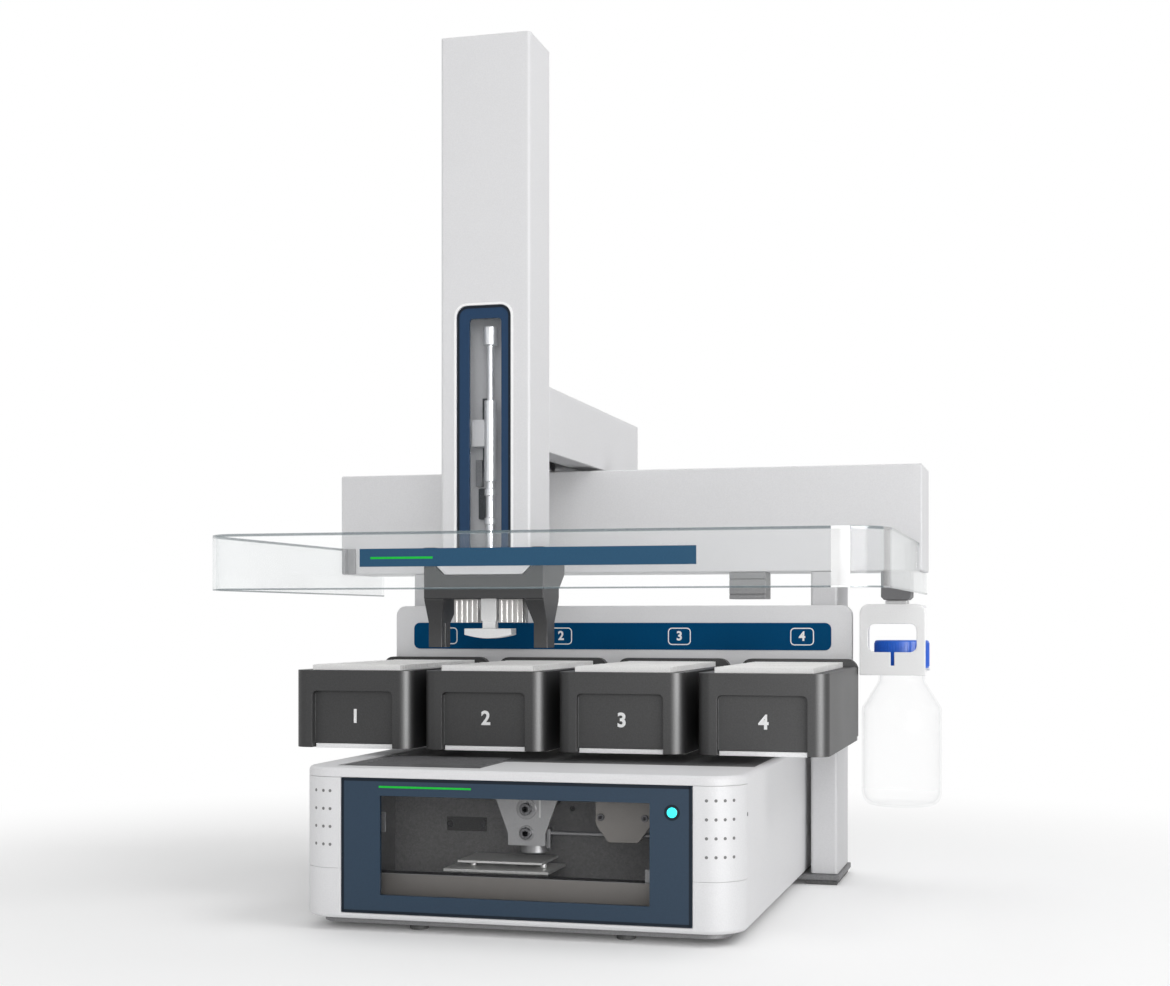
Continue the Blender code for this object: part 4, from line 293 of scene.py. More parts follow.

# Front cover of the base.
# The two white wings wrap round the front corners, joined by a thin carrier behind the blue frame;
# each wing has four rows of small air holes and a finger notch at its rear edge, drawn as painted shade.
WING_FOOT = 0.0520
WING_TOP = 0.1274
WING_SLACK = 0.0002
FOOT_SEAM = 0.00018
TOP_SEAM = 0.00035
WING_SETBACK = 0.00015
VENT_LEVELS = (0.0714, 0.0863, 0.1012, 0.1162)
VENT_ANGLES = ((-1, (3, 15, 31)), (1, (6, 20, 34, 49)))
VENT_RADIUS = 0.0013
VENT_INNER = CORNER_RADIUS - 0.0010
VENT_FACE = CORNER_RADIUS + 0.00005
FLAT_VENT_FACE = CORNER_RADIUS - 0.00003
FLAT_ANGLE = 10
NOTCH_SHADE_RADIUS = 0.0017
NOTCH_SHADE_INNER = 0.1870
NOTCH_SHADE_FACE = 0.1886
NOTCH_SHADE_Y = 0.0300
NOTCH_SHADE_Z = 0.1034
ROUND_SIDES = 20


def rod(bm, start, end, radius, sides):
    """Adds a closed round bar."""
    start = Vector(start)
    end = Vector(end)
    turn = Vector((0, 0, 1)).rotation_difference(end - start).to_matrix().to_4x4()
    bmesh.ops.create_cone(
        bm,
        cap_ends=True,
        segments=sides,
        radius1=radius,
        radius2=radius,
        depth=(end - start).length,
        matrix=Matrix.Translation((start + end) / 2) @ turn,
    )


bm = copied("front_cover")
for vert in bm.verts:
    if abs(vert.co.z - WING_FOOT) < WING_SLACK:
        vert.co.z -= FOOT_SEAM
    if abs(vert.co.z - WING_TOP) < WING_SLACK:
        vert.co.z += TOP_SEAM
    if vert.co.y < at(0, NEAR, 0).y:
        vert.co.y += WING_SETBACK
eased(bm, width=0.0013, steps=3, chosen=round_the_frame)
eased(bm, width=0.0004)
finished("front_cover_finish", bm, housing, "cover", ("front_cover",))
# The air holes and the finger notch are not cut: dark grey discs on the skin stand for them, painted shade.
shade_grey = surface("vent shade", (0.20, 0.20, 0.20), 0.7, gloss=0.1)
bm = bmesh.new()
for side, angles in VENT_ANGLES:
    for level in VENT_LEVELS:
        for angle in angles:
            out = VENT_FACE if angle > FLAT_ANGLE else FLAT_VENT_FACE
            reach = Vector((side * math.sin(math.radians(angle)), -math.cos(math.radians(angle)), 0))
            middle = at(side * CORNER_X, CORNER_RADIUS, level)
            rod(bm, middle + reach * VENT_INNER, middle + reach * out, VENT_RADIUS, ROUND_SIDES)
    inner = at(side * NOTCH_SHADE_INNER, NOTCH_SHADE_Y, NOTCH_SHADE_Z)
    face = at(side * NOTCH_SHADE_FACE, NOTCH_SHADE_Y, NOTCH_SHADE_Z)
    rod(bm, inner, face, NOTCH_SHADE_RADIUS, ROUND_SIDES)
finished("front_cover_vent_shade", bm, shade_grey, "cover", ())

# Window frame, pane and lamp.
# The frame is one blue moulding between the wings, the pane a grey tinted sheet set into it,
# and the lamp a small lens lit from behind. A plain green bar stands where words were printed.
blue = surface(
    "blue moulding",
    (0.022, 0.046, 0.079),
    0.40,
    grain=0.04,
    size=0.0016,
    bump=0.05,
    tone=0.10,
    gloss=0.25,
)
FRAME_SETBACK = 0.0003
FRAME_CENTRE = (0, 0.00005, 0.0714)
FORWARD = (0, -1, 0)
LAMP_X = 0.1329
LAMP_Z = 0.1061
LENS_FACE = 0.00005
LENS_GLOW = 0.0004
LENS_RIM = 0.0010
LENS_BACK = 0.0040
LENS_RADIUS = 0.0046
GLOW_RADIUS = 0.0056
BEZEL_INNER = 0.0048
BEZEL_OUTER = 0.0064
BEZEL_BACK = 0.0035
BEZEL_HEIGHT = 0.0033
LAMP_SIDES = 40
FRAME_ACCENT = ((-0.1155, 0.00001, 0.1197), (-0.0350, 0.0002, 0.1213))
bm = copied("window_frame")
for vert in bm.verts:
    if vert.co.y < at(0, NEAR, 0).y:
        vert.co.y += FRAME_SETBACK
eased(bm, width=0.0006)
finished("window_frame_finish", bm, blue, "cover", ("window_frame",))


def aimed(centre, out):
    """A placing that puts the Z axis along a direction, at a point."""
    turn = Vector((0, 0, 1)).rotation_difference(Vector(out)).to_matrix().to_4x4()
    return Matrix.Translation(centre) @ turn


def edged(width, height, corner, band, thick, centre):
    """A flat band inside a rectangle with rounded corners, as a bmesh whose front face is at centre."""
    bm = bmesh.new()
    bmesh.ops.create_grid(bm, x_segments=1, y_segments=1, size=0.5)
    bmesh.ops.scale(bm, vec=(width, height, 1), verts=bm.verts)
    bmesh.ops.bevel(
        bm,
        geom=list(bm.verts),
        offset=corner,
        segments=6,
        profile=0.5,
        affect="VERTICES",
        material=-1,
    )
    inset = bmesh.ops.inset_region(
        bm,
        faces=list(bm.faces),
        use_boundary=True,
        thickness=band,
        use_even_offset=True,
    )
    bmesh.ops.delete(bm, geom=[face for face in bm.faces if face not in inset["faces"]], context="FACES")
    bmesh.ops.solidify(bm, geom=list(bm.faces), thickness=thick)
    bmesh.ops.recalc_face_normals(bm, faces=bm.faces)
    bmesh.ops.transform(bm, matrix=aimed(centre, FORWARD), verts=bm.verts)
    return bm


def stacked(bm, place, rings):
    """A turned piece: circles with their sides, radius and height along the axis, bridged and closed."""
    ends = []
    before = None
    verts = []
    for sides, radius, height in rings:
        spot = place @ Matrix.Translation((0, 0, height))
        ring = bmesh.ops.create_circle(bm, segments=sides, radius=radius, matrix=spot)["verts"]
        edges = list({edge for vert in ring for edge in vert.link_edges})
        verts += ring
        if before:
            bmesh.ops.bridge_loops(bm, edges=before + edges)
        else:
            ends += edges
        before = edges
    bmesh.ops.holes_fill(bm, edges=ends + before, sides=0)
    bmesh.ops.recalc_face_normals(bm, faces=list({face for vert in verts for face in vert.link_faces}))


# Near black navy for the lamp's bezel, and for dark bands round the frames' outer rims that are painted
# shade.
bezel_and_rim_shade = surface(
    "bezel and rim shade",
    (0.004, 0.010, 0.019),
    0.6,
    grain=0.04,
    size=0.0016,
    bump=0.05,
    gloss=0.15,
)
# A dark band round the blue frame's outer rim: painted shade in the joint with the cover.
bm = edged(width=0.2978, height=0.1118, corner=0.0012, band=0.0022, thick=0.0004, centre=at(*FRAME_CENTRE))
finished("window_frame_rim_shade", bm, bezel_and_rim_shade, "cover", ())


def clear(name, colour, face, glancing, cuts=(), painted_bands=()):
    """A clear sheet, hardly there face on and whiter at a glancing angle.

    Each cut is the height where a grey edge starts and the height where it is full. Each painted band is
    its middle and half width across the object, how much it hides, and its shade of grey: a pale band is a
    painted highlight, a grey one painted shade.
    """
    cut_tint = (0.15, 0.20, 0.22, 1)
    cut_opacity = 0.52
    material = bpy.data.materials.new(name)
    material.use_nodes = True
    nodes = material.node_tree.nodes
    link = material.node_tree.links.new
    shader = nodes["Principled BSDF"]
    shader.inputs["IOR"].default_value = 1.49
    place = nodes.new("ShaderNodeTexCoord")
    haze = nodes.new("ShaderNodeTexNoise")
    haze.inputs["Scale"].default_value = 22
    haze.inputs["Detail"].default_value = 4
    link(place.outputs["Object"], haze.inputs["Vector"])
    film = nodes.new("ShaderNodeMapRange")
    film.inputs["To Min"].default_value = 0.03
    film.inputs["To Max"].default_value = 0.08
    link(haze.outputs["Fac"], film.inputs["Value"])
    link(film.outputs["Result"], shader.inputs["Roughness"])
    turn = nodes.new("ShaderNodeLayerWeight")
    steep = nodes.new("ShaderNodeMath")
    steep.operation = "POWER"
    steep.inputs[1].default_value = 3
    link(turn.outputs["Facing"], steep.inputs[0])
    body = nodes.new("ShaderNodeMapRange")
    body.inputs["To Min"].default_value = face
    body.inputs["To Max"].default_value = glancing
    link(steep.outputs["Value"], body.inputs["Value"])
    tint = nodes.new("ShaderNodeMix")
    tint.data_type = "RGBA"
    tint.inputs["A"].default_value = (*colour, 1)
    tint.inputs["B"].default_value = cut_tint
    link(tint.outputs["Result"], shader.inputs["Base Color"])
    opacity = body.outputs["Result"]
    edge = None
    height = nodes.new("ShaderNodeSeparateXYZ")
    link(place.outputs["Object"], height.inputs["Vector"])
    for start, full in cuts:
        band = nodes.new("ShaderNodeMapRange")
        band.inputs["From Min"].default_value = start
        band.inputs["From Max"].default_value = full
        link(height.outputs["Z"], band.inputs["Value"])
        if edge is None:
            edge = band.outputs["Result"]
        else:
            both = nodes.new("ShaderNodeMath")
            both.operation = "MAXIMUM"
            link(edge, both.inputs[0])
            link(band.outputs["Result"], both.inputs[1])
            edge = both.outputs["Value"]
    if edge is None:
        tint.inputs["Factor"].default_value = 0
    else:
        link(edge, tint.inputs["Factor"])
        thick = nodes.new("ShaderNodeMapRange")
        thick.inputs["To Max"].default_value = cut_opacity
        link(edge, thick.inputs["Value"])
        deep = nodes.new("ShaderNodeMath")
        deep.operation = "MAXIMUM"
        link(opacity, deep.inputs[0])
        link(thick.outputs["Result"], deep.inputs[1])
        opacity = deep.outputs["Value"]
    # Painted bands: a pale one is a painted highlight, a grey one painted shade.
    if painted_bands:
        reach = nodes.new("ShaderNodeMath")
        reach.operation = "ADD"
        reach.inputs[1].default_value = -MIDDLE_X
        link(height.outputs["X"], reach.inputs[0])
    for middle, half, strength, shade in painted_bands:
        near = nodes.new("ShaderNodeMath")
        near.operation = "COMPARE"
        near.inputs[1].default_value = middle
        near.inputs[2].default_value = half
        link(reach.outputs["Value"], near.inputs[0])
        pale = nodes.new("ShaderNodeMath")
        pale.operation = "MULTIPLY_ADD"
        pale.inputs[1].default_value = strength
        link(near.outputs["Value"], pale.inputs[0])
        link(opacity, pale.inputs[2])
        opacity = pale.outputs["Value"]
        lit = nodes.new("ShaderNodeMix")
        lit.data_type = "RGBA"
        lit.inputs["B"].default_value = (shade, shade, shade, 1)
        link(near.outputs["Value"], lit.inputs["Factor"])
        link(tint.outputs["Result"], lit.inputs["A"])
        link(lit.outputs["Result"], shader.inputs["Base Color"])
        tint = lit
    link(opacity, shader.inputs["Alpha"])
    return material


tinted = clear("tinted pane", (0.06, 0.062, 0.07), face=0.05, glancing=0.4)
dressed("window_pane", tinted, ease=0.0003)


def glow(name, colour, strength, centre, radius):
    """A lens lit from behind, brighter in its middle than round its edge."""
    material = surface(name, colour, 0.25, grain=0.02, size=0.001, bump=0.02)
    nodes = material.node_tree.nodes
    link = material.node_tree.links.new
    place = nodes.new("ShaderNodeTexCoord")
    away = nodes.new("ShaderNodeVectorMath")
    away.operation = "DISTANCE"
    away.inputs[1].default_value = centre
    link(place.outputs["Object"], away.inputs[0])
    fade = nodes.new("ShaderNodeMapRange")
    fade.inputs["From Max"].default_value = radius
    link(away.outputs["Value"], fade.inputs["Value"])
    ramp = nodes.new("ShaderNodeValToRGB")
    ramp.color_ramp.elements[0].position = 0.55
    ramp.color_ramp.elements[0].color = (*colour, 1)
    rim_share = 0.45
    ramp.color_ramp.elements[1].color = (*[c * rim_share for c in colour], 1)
    link(fade.outputs["Result"], ramp.inputs["Fac"])
    shader = nodes["Principled BSDF"]
    link(ramp.outputs["Color"], shader.inputs["Emission Color"])
    shader.inputs["Emission Strength"].default_value = strength
    return material


lamp_light = glow("lamp lens", (0.03, 0.92, 1.0), 0.85, at(LAMP_X, LENS_GLOW, LAMP_Z), GLOW_RADIUS)
bm = bmesh.new()
rod(bm, at(LAMP_X, LENS_FACE, LAMP_Z), at(LAMP_X, LENS_BACK, LAMP_Z), LENS_RADIUS, LAMP_SIDES)
eased(bm, width=0.0010, steps=4, chosen=lambda point, edge: point.y < at(0, LENS_RIM, 0).y)
finished("status_lamp_finish", bm, lamp_light, "cover", ("status_lamp",))
bm = bmesh.new()
bezel = (
    (LAMP_SIDES, BEZEL_INNER, 0),
    (LAMP_SIDES, BEZEL_OUTER, 0),
    (LAMP_SIDES, BEZEL_OUTER, BEZEL_HEIGHT),
    (LAMP_SIDES, BEZEL_INNER, BEZEL_HEIGHT),
)
stacked(bm, aimed(at(LAMP_X, BEZEL_BACK, LAMP_Z), FORWARD), bezel)
finished("status_lamp_bezel", bm, bezel_and_rim_shade, "cover", ())
green = surface("green print", (0.015, 0.52, 0.05), 0.5, grain=0.06, size=0.0011, bump=0.02, gloss=0.1)
blocks("frame_accent", (FRAME_ACCENT,), green, "cover")

# Clamp chamber seen through the pane.
# A dark grey sheet box with a grey folded ledge across its front, its top painted near black as painted
# shade, a dark slot with two screws in its back wall, a third screw beside them, and small card stops at
# both ends.
chamber_paint = surface(
    "chamber paint",
    (0.270, 0.268, 0.268),
    0.6,
    grain=0.12,
    size=0.0016,
    bump=0.2,
    gloss=0.15,
)
dressed("chamber_liner", chamber_paint, ease=0.0003)
coated = surface(
    "grey coated metal",
    (0.20, 0.188, 0.175),
    0.42,
    grain=0.08,
    size=0.0012,
    bump=0.12,
    metallic=0.2,
)
satin = surface(
    "satin aluminium",
    (0.27, 0.27, 0.275),
    0.36,
    grain=0.07,
    size=0.0009,
    bump=0.08,
    metallic=0.4,
)
screw_steel = surface(
    "screw steel",
    (0.12, 0.12, 0.125),
    0.32,
    grain=0.1,
    size=0.0008,
    bump=0.1,
    metallic=0.8,
)
rod_steel = surface("rod steel", (0.20, 0.20, 0.205), 0.35, grain=0.10, size=0.0007, bump=0.10, metallic=0.5)
ledge_top_shade = surface(
    "ledge top painted shade",
    (0.045, 0.045, 0.046),
    0.7,
    grain=0.12,
    size=0.0016,
    bump=0.2,
    gloss=0.1,
)
slot_shade = surface("slot shade", (0.13, 0.13, 0.13), 0.7, gloss=0.1)
LEDGE_FRONT = ((-0.1575, 0.0306, 0.0175), (0.1575, 0.0310, 0.0441))
LEDGE_TOP = ((-0.1570, 0.0313, 0.0442), (0.1570, 0.0448, 0.0448))
RIGHT_STOP = ((0.1035, 0.0325, 0.0444), (0.1075, 0.0345, 0.0553))
LEFT_STOP = ((-0.1265, 0.0325, 0.0790), (-0.1223, 0.0340, 0.0960))
CHAMBER_SLOT = ((-0.108, 0.1478, 0.0676), (-0.070, 0.1486, 0.0803))
CHAMBER_SCREWS = (
    ((-0.1045, 0.1478, 0.0740), FORWARD, 0.0032, 0.0016),
    ((-0.0735, 0.1478, 0.0740), FORWARD, 0.0032, 0.0016),
    ((0.0105, 0.1485, 0.0905), FORWARD, 0.0024, 0.0016),
)
dressed("guide_rod", rod_steel, ease=0.0002)
blocks("ledge_front", (LEDGE_FRONT,), coated, "bench", ease=0.00015)
# The ledge's top is painted near black: painted shade, darker than its grey front.
blocks("ledge_top", (LEDGE_TOP,), ledge_top_shade, "bench", ease=0.0001)
blocks("card_stops", (RIGHT_STOP, LEFT_STOP), satin, "bench", ease=0.0004)
blocks("chamber_slot", (CHAMBER_SLOT,), slot_shade, "bench", ease=0.0003)


def screws(name, body, heads):
    """A piece made of cap screws with six-sided sockets: each one's foot, direction, radius and height."""
    bm = bmesh.new()
    for foot, out, radius, height in heads:
        shoulder = height * 0.85
        socket_floor = height * 0.35
        rings = (
            (24, radius, 0),
            (24, radius, shoulder),
            (24, radius * 0.9, height),
            (6, radius * 0.54, height),
            (6, radius * 0.50, socket_floor),
        )
        stacked(bm, aimed(at(*foot), out), rings)
    return finished(name, bm, screw_steel, body, ())


screws("chamber_screws", "bench", CHAMBER_SCREWS)

# Card table under the clamp, and the clamp head with its screws.
# The table is a stack of machined plates on a pedestal. The head is a tapered plate screwed to the
# nozzle block, which comes down on the card.
table_metal = surface(
    "table plating",
    (0.72, 0.72, 0.71),
    0.38,
    grain=0.08,
    size=0.0012,
    bump=0.1,
    metallic=0.2,
)
head_metal = surface(
    "head plating",
    (0.33, 0.33, 0.335),
    0.36,
    grain=0.07,
    size=0.0009,
    bump=0.08,
    metallic=0.3,
)
bare_metal = surface("bare metal", (0.62, 0.62, 0.62), 0.3, gloss=0.8)
motor_lacquer = surface("motor lacquer", (0.02, 0.02, 0.02), 0.3, grain=0.1, size=0.001, bump=0.1)
UPPER_WASHER = (-0.0045, 0.0558, 0.0995)
LOWER_WASHER = (-0.0045, 0.0558, 0.0790)
WASHER_RINGS = ((32, 0.0088, 0), (32, 0.0088, 0.0005), (32, 0.0084, 0.0008))
LOWER_WASHER_SHARE = 0.75
CLAMP_SCREWS = (
    ((-0.0045, 0.0550, 0.0995), FORWARD, 0.0052, 0.0038),
    ((-0.0045, 0.0550, 0.0790), FORWARD, 0.0050, 0.0034),
)
CLAMP_SCALE = ((0.0066, 0.0552, 0.0925), (0.0082, 0.0558, 0.1110))
dressed("card_table", table_metal, ease=0.0005)
dressed("clamp_head", head_metal, ease=0.0005)
bm = bmesh.new()
stacked(bm, aimed(at(*UPPER_WASHER), FORWARD), WASHER_RINGS)
small_rings = [(sides, radius * LOWER_WASHER_SHARE, height) for sides, radius, height in WASHER_RINGS]
stacked(bm, aimed(at(*LOWER_WASHER), FORWARD), small_rings)
finished("clamp_washers", bm, satin, "clamp", ())
screws("clamp_screws", "clamp", CLAMP_SCREWS)
blocks("clamp_scale", (CLAMP_SCALE,), bare_metal, "clamp", ease=0.0002)
dressed("clamp_motor", motor_lacquer, ease=0.0006)

# Shuttle plate on the guide rod.
# A cut plate with its lower corners taken off, held by two screws to the bearing behind it.
SHUTTLE_SCREWS = (
    ((0.0605, 0.0558, 0.0944), FORWARD, 0.0030, 0.0022),
    ((0.0982, 0.0558, 0.0944), FORWARD, 0.0030, 0.0022),
)
dressed("shuttle_plate", coated, ease=0.0005)
screws("shuttle_screws", "shuttle", SHUTTLE_SCREWS)

# Rear panel of the base and its inlet.
# A painted plate held by six screws, with rows of air slots and the moulded socket for the mains.
black = surface("black moulding", (0.018, 0.018, 0.019), 0.45, grain=0.2, size=0.0012, bump=0.15)
steel = surface("ground steel", (0.42, 0.42, 0.43), 0.30, grain=0.10, size=0.0007, bump=0.10, metallic=1.0)
BACKWARD = (0, 1, 0)
PANEL_SCREW_X = (-0.172, 0.0, 0.172)
PANEL_SCREW_Z = (0.024, 0.121)
PANEL_SCREW_Y = 0.4455
AIR_SLOTS = 9
FIRST_SLOT = 0.0400
SLOT_PITCH = 0.0075
SLOT_HEIGHT = 0.0028
SLOT_LEFT = -0.130
SLOT_RIGHT = -0.060
SLOT_INNER = 0.4454
SLOT_FACE = 0.44595
PIN_X = (0.1145, 0.1200, 0.1255)
PIN_HALF = 0.0010
PIN_LOW = (0.4250, 0.0570)
PIN_HIGH = (0.4400, 0.0630)
dressed("base_rear_panel", housing, ease=0.0003)
dressed("power_inlet", black, ease=0.0008)
heads = [((x, PANEL_SCREW_Y, z), BACKWARD, 0.0030, 0.0022) for x in PANEL_SCREW_X for z in PANEL_SCREW_Z]
screws("rear_panel_screws", "bench", heads)
levels = [FIRST_SLOT + row * SLOT_PITCH for row in range(AIR_SLOTS)]
slots = [((SLOT_LEFT, SLOT_INNER, z), (SLOT_RIGHT, SLOT_FACE, z + SLOT_HEIGHT)) for z in levels]
blocks("rear_air_slots", slots, black, "bench")
pins = [((x - PIN_HALF, *PIN_LOW), (x + PIN_HALF, *PIN_HIGH)) for x in PIN_X]
blocks("inlet_pins", pins, steel, "bench")

# Card racks.
# Four charcoal mouldings with a fine spark-eroded grain, each with a finger recess and its number
# in the front. They slide on the tongues of the shelf.
rack_plastic = surface(
    "rack plastic",
    (0.019, 0.019, 0.0195),
    0.46,
    grain=0.25,
    size=0.0013,
    bump=0.18,
    tone=0.08,
)
# Light grey for strips along the racks' right top edges, which are painted highlights.
rim_highlight_paint = surface("rack rim highlight", (0.10, 0.10, 0.102), 0.5, grain=0.2, size=0.0013, bump=0.2)
white_print = surface("white print", (0.82, 0.82, 0.82), 0.5, grain=0.03, size=0.0008, bump=0.03)
RACKS = 4
FIRST_RACK_LEFT = -0.2459
RACK_PITCH = 0.1248
RACK_HALF = 0.0567
RIM_INNER = 0.0026
RIM_OUTER = 0.0009
RIM_END = 0.0130
RIM_FOOT = 0.2131
RIM_TOP = 0.2138
SKIRT_INNER = 0.0005
SKIRT_OUTER = 0.0001
SKIRT_FRONT = 0.0120
SKIRT_REAR = 0.2200
SKIRT_HEIGHT = 0.0045
NUMBER_SIZE = 0.0172
NUMBER_SHIFT = 0.0005
NUMBER_Y = 0.12615
NUMBER_Z = 0.1709
NUMBER_DEPTH = 0.0003


def lettered(text, size, centre, depth):
    """The outline of some characters as a solid bmesh that faces the front."""
    curve = bpy.data.curves.new("characters", "FONT")
    curve.body = text
    curve.size = size
    curve.align_x = "CENTER"
    curve.align_y = "CENTER"
    curve.extrude = depth / 2
    curve.resolution_u = 6
    weight_share = 0.030
    curve.offset = size * weight_share
    holder = bpy.data.objects.new("characters", curve)
    bpy.context.scene.collection.objects.link(holder)
    bpy.context.view_layer.update()
    graph = bpy.context.evaluated_depsgraph_get()
    bm = bmesh.new()
    bm.from_mesh(holder.evaluated_get(graph).to_mesh())
    holder.evaluated_get(graph).to_mesh_clear()
    bpy.data.objects.remove(holder)
    bpy.data.curves.remove(curve)
    bmesh.ops.remove_doubles(bm, verts=bm.verts, dist=0.000001)
    upright = Matrix.Rotation(math.pi / 2, 4, "X")
    bmesh.ops.transform(bm, matrix=Matrix.Translation(Vector(centre)) @ upright, verts=bm.verts)
    return bm


for number in range(1, RACKS + 1):
    middle = FIRST_RACK_LEFT + (number - 1) * RACK_PITCH + RACK_HALF
    rack = f"rack_{number}"
    low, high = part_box(rack)
    dressed(rack, rack_plastic, ease=0.0009)
    # A light grey strip along the top of the right side wall: a painted highlight on its rounded edge.
    bm = bmesh.new()
    rim_low = (high.x - RIM_INNER, low.y + RIM_END, RIM_FOOT)
    rim_high = (high.x - RIM_OUTER, high.y - RIM_END, RIM_TOP)
    brick(bm, rim_low, rim_high)
    finished(rack + "_rim_highlight", bm, rim_highlight_paint, rack, ())
    bm = bmesh.new()
    skirt_low = (high.x - SKIRT_INNER, low.y + SKIRT_FRONT, low.z)
    skirt_high = (high.x - SKIRT_OUTER, low.y + SKIRT_REAR, low.z + SKIRT_HEIGHT)
    brick(bm, skirt_low, skirt_high)
    finished(rack + "_skirt", bm, rack_plastic, rack, ())
    bm = lettered(str(number), NUMBER_SIZE, at(middle + NUMBER_SHIFT, NUMBER_Y, NUMBER_Z), NUMBER_DEPTH)
    finished(rack + "_number", bm, white_print, rack, ())

# Card packs.
# Each is a full stack of paper cards standing on edge, with slightly uneven tops, so that its
# surface shows a fine grain of edges across the rack.
card_stock = surface(
    "card stock",
    (0.93, 0.925, 0.915),
    0.85,
    grain=0.05,
    size=0.0009,
    bump=0.15,
    tone=0.05,
)
CARDS = 105
CARD_SHIFT = 0.00045
CARD_DROP = 0.0005
CARD_SHARE = 0.72
for number in range(1, RACKS + 1):
    low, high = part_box(f"card_pack_{number}")
    chance = random.Random(number)
    bm = bmesh.new()
    pitch = (high.y - low.y) / CARDS
    for card in range(CARDS):
        y = low.y + card * pitch
        shift = chance.uniform(0, CARD_SHIFT)
        drop = chance.uniform(0, CARD_DROP)
        card_high = (high.x - CARD_SHIFT + shift, y + pitch * CARD_SHARE, high.z - drop)
        brick(bm, (low.x + shift, y, low.z), card_high)
    finished(f"card_pack_{number}_cards", bm, card_stock, f"rack_{number}", (f"card_pack_{number}",))

# Shelf, panel and label strip behind the racks.
# The shelf and the panel are painted sheet; the strip is a deep blue film with four outlined
# numbers printed on it, one for each rack.
shelf_paint = surface("shelf paint", (0.86, 0.86, 0.865), 0.45, grain=0.04, size=0.0011, bump=0.08)
film_blue = surface(
    "blue film",
    (0.0008, 0.060, 0.160),
    0.38,
    grain=0.04,
    size=0.0016,
    bump=0.04,
    tone=0.10,
    gloss=0.02,
)
LABEL_MIDDLE = 0.0037
LABEL_PITCH = 0.1224
LABEL_Y = 0.3495
LABEL_NUMBER_Y = 0.34955
LABEL_Z = 0.2426
LABEL_NUMBER_SIZE = 0.0125
LABEL_DEPTH = 0.0002
dressed("rack_shelf", shelf_paint, ease=0.0004)
dressed("rack_panel", housing, ease=0.0009)
dressed("label_strip", film_blue, ease=0)
for number in range(1, RACKS + 1):
    x = LABEL_MIDDLE + (number - (RACKS + 1) / 2) * LABEL_PITCH
    centre = at(x, LABEL_Y, LABEL_Z)
    bm = edged(width=0.0232, height=0.0172, corner=0.0042, band=0.0010, thick=LABEL_DEPTH, centre=centre)
    finished(f"strip_label_{number}", bm, white_print, "bench", ())
    bm = lettered(str(number), LABEL_NUMBER_SIZE, at(x, LABEL_NUMBER_Y, LABEL_Z), LABEL_DEPTH)
    finished(f"strip_number_{number}", bm, white_print, "bench", ())

# Gantry legs and beam.
# Folded steel covers in the base's paint, the legs painted a little darker as painted shade from the
# beam, over an aluminium profile with its rail and the belt motor. Each end plate of the beam has four
# screws, the rear cover ten.
# The legs' paint is the housing's grey darkened: painted shade from the beam above them.
leg_shaded_paint = surface(
    "leg paint, shaded",
    (0.60, 0.60, 0.61),
    0.46,
    grain=0.025,
    size=0.0011,
    bump=0.06,
    gloss=0.25,
)
profile = surface(
    "anodised profile",
    (0.50, 0.50, 0.51),
    0.34,
    grain=0.05,
    size=0.0008,
    bump=0.08,
    metallic=0.9,
)
BEAM_END = 0.3015
BEAM_FRONT = 0.3622
BEAM_REAR = 0.4505
END_SCREW_X = 0.3008
END_SCREWS = ((0.378, 0.325), (0.434, 0.325), (0.378, 0.392), (0.434, 0.392))
REAR_SCREW_X = (-0.280, -0.140, 0.0, 0.140, 0.280)
REAR_SCREW_Z = (0.3180, 0.3990)
REAR_SCREW_Y = 0.4500
dressed("leg_left", leg_shaded_paint, ease=0.0005)
dressed("leg_right", leg_shaded_paint, ease=0.0005)


def on_beam_outline(point, edge):
    """Is this edge on the outside of the beam, clear of its slot and its open back?"""
    inside = abs(point.x - MIDDLE_X) < BEAM_END and at(0, BEAM_FRONT, 0).y < point.y
    return not inside and point.y < at(0, BEAM_REAR, 0).y


dressed("beam_cover", housing, 0.0005, on_beam_outline, wide=0.0016, steps=3)
dressed("beam_rear_cover", housing, ease=0.0004)
dressed("x_rail", profile, ease=0.0005)
dressed("x_motor", black, ease=0.0015)
dressed("x_carriage", profile, ease=0.0008)
heads = []
for side in (-1, 1):
    for y, z in END_SCREWS:
        heads.append(((side * END_SCREW_X, y, z), (side, 0, 0), 0.0026, 0.0011))
screws("beam_end_screws", "bench", heads)
heads = [((x, REAR_SCREW_Y, z), BACKWARD, 0.0026, 0.0008) for x in REAR_SCREW_X for z in REAR_SCREW_Z]
screws("beam_rear_screws", "bench", heads)

# Arm across the beam.
# A folded cover over an aluminium profile whose rail rides on the carriage; a plate closes it from
# below, with a slot for the carriage's neck.
ARM_TOP = 0.4745
ARM_REAR = 0.5482


def on_arm_outline(point, edge):
    """Is this edge on the arm cover's top or its rear?"""
    return point.z > ARM_TOP or point.y > at(0, ARM_REAR, 0).y


dressed("arm_cover", housing, 0.0005, on_arm_outline, wide=0.0018, steps=3)
dressed("arm_plate", profile, ease=0.0004)
dressed("arm_beam", profile, ease=0.0005)

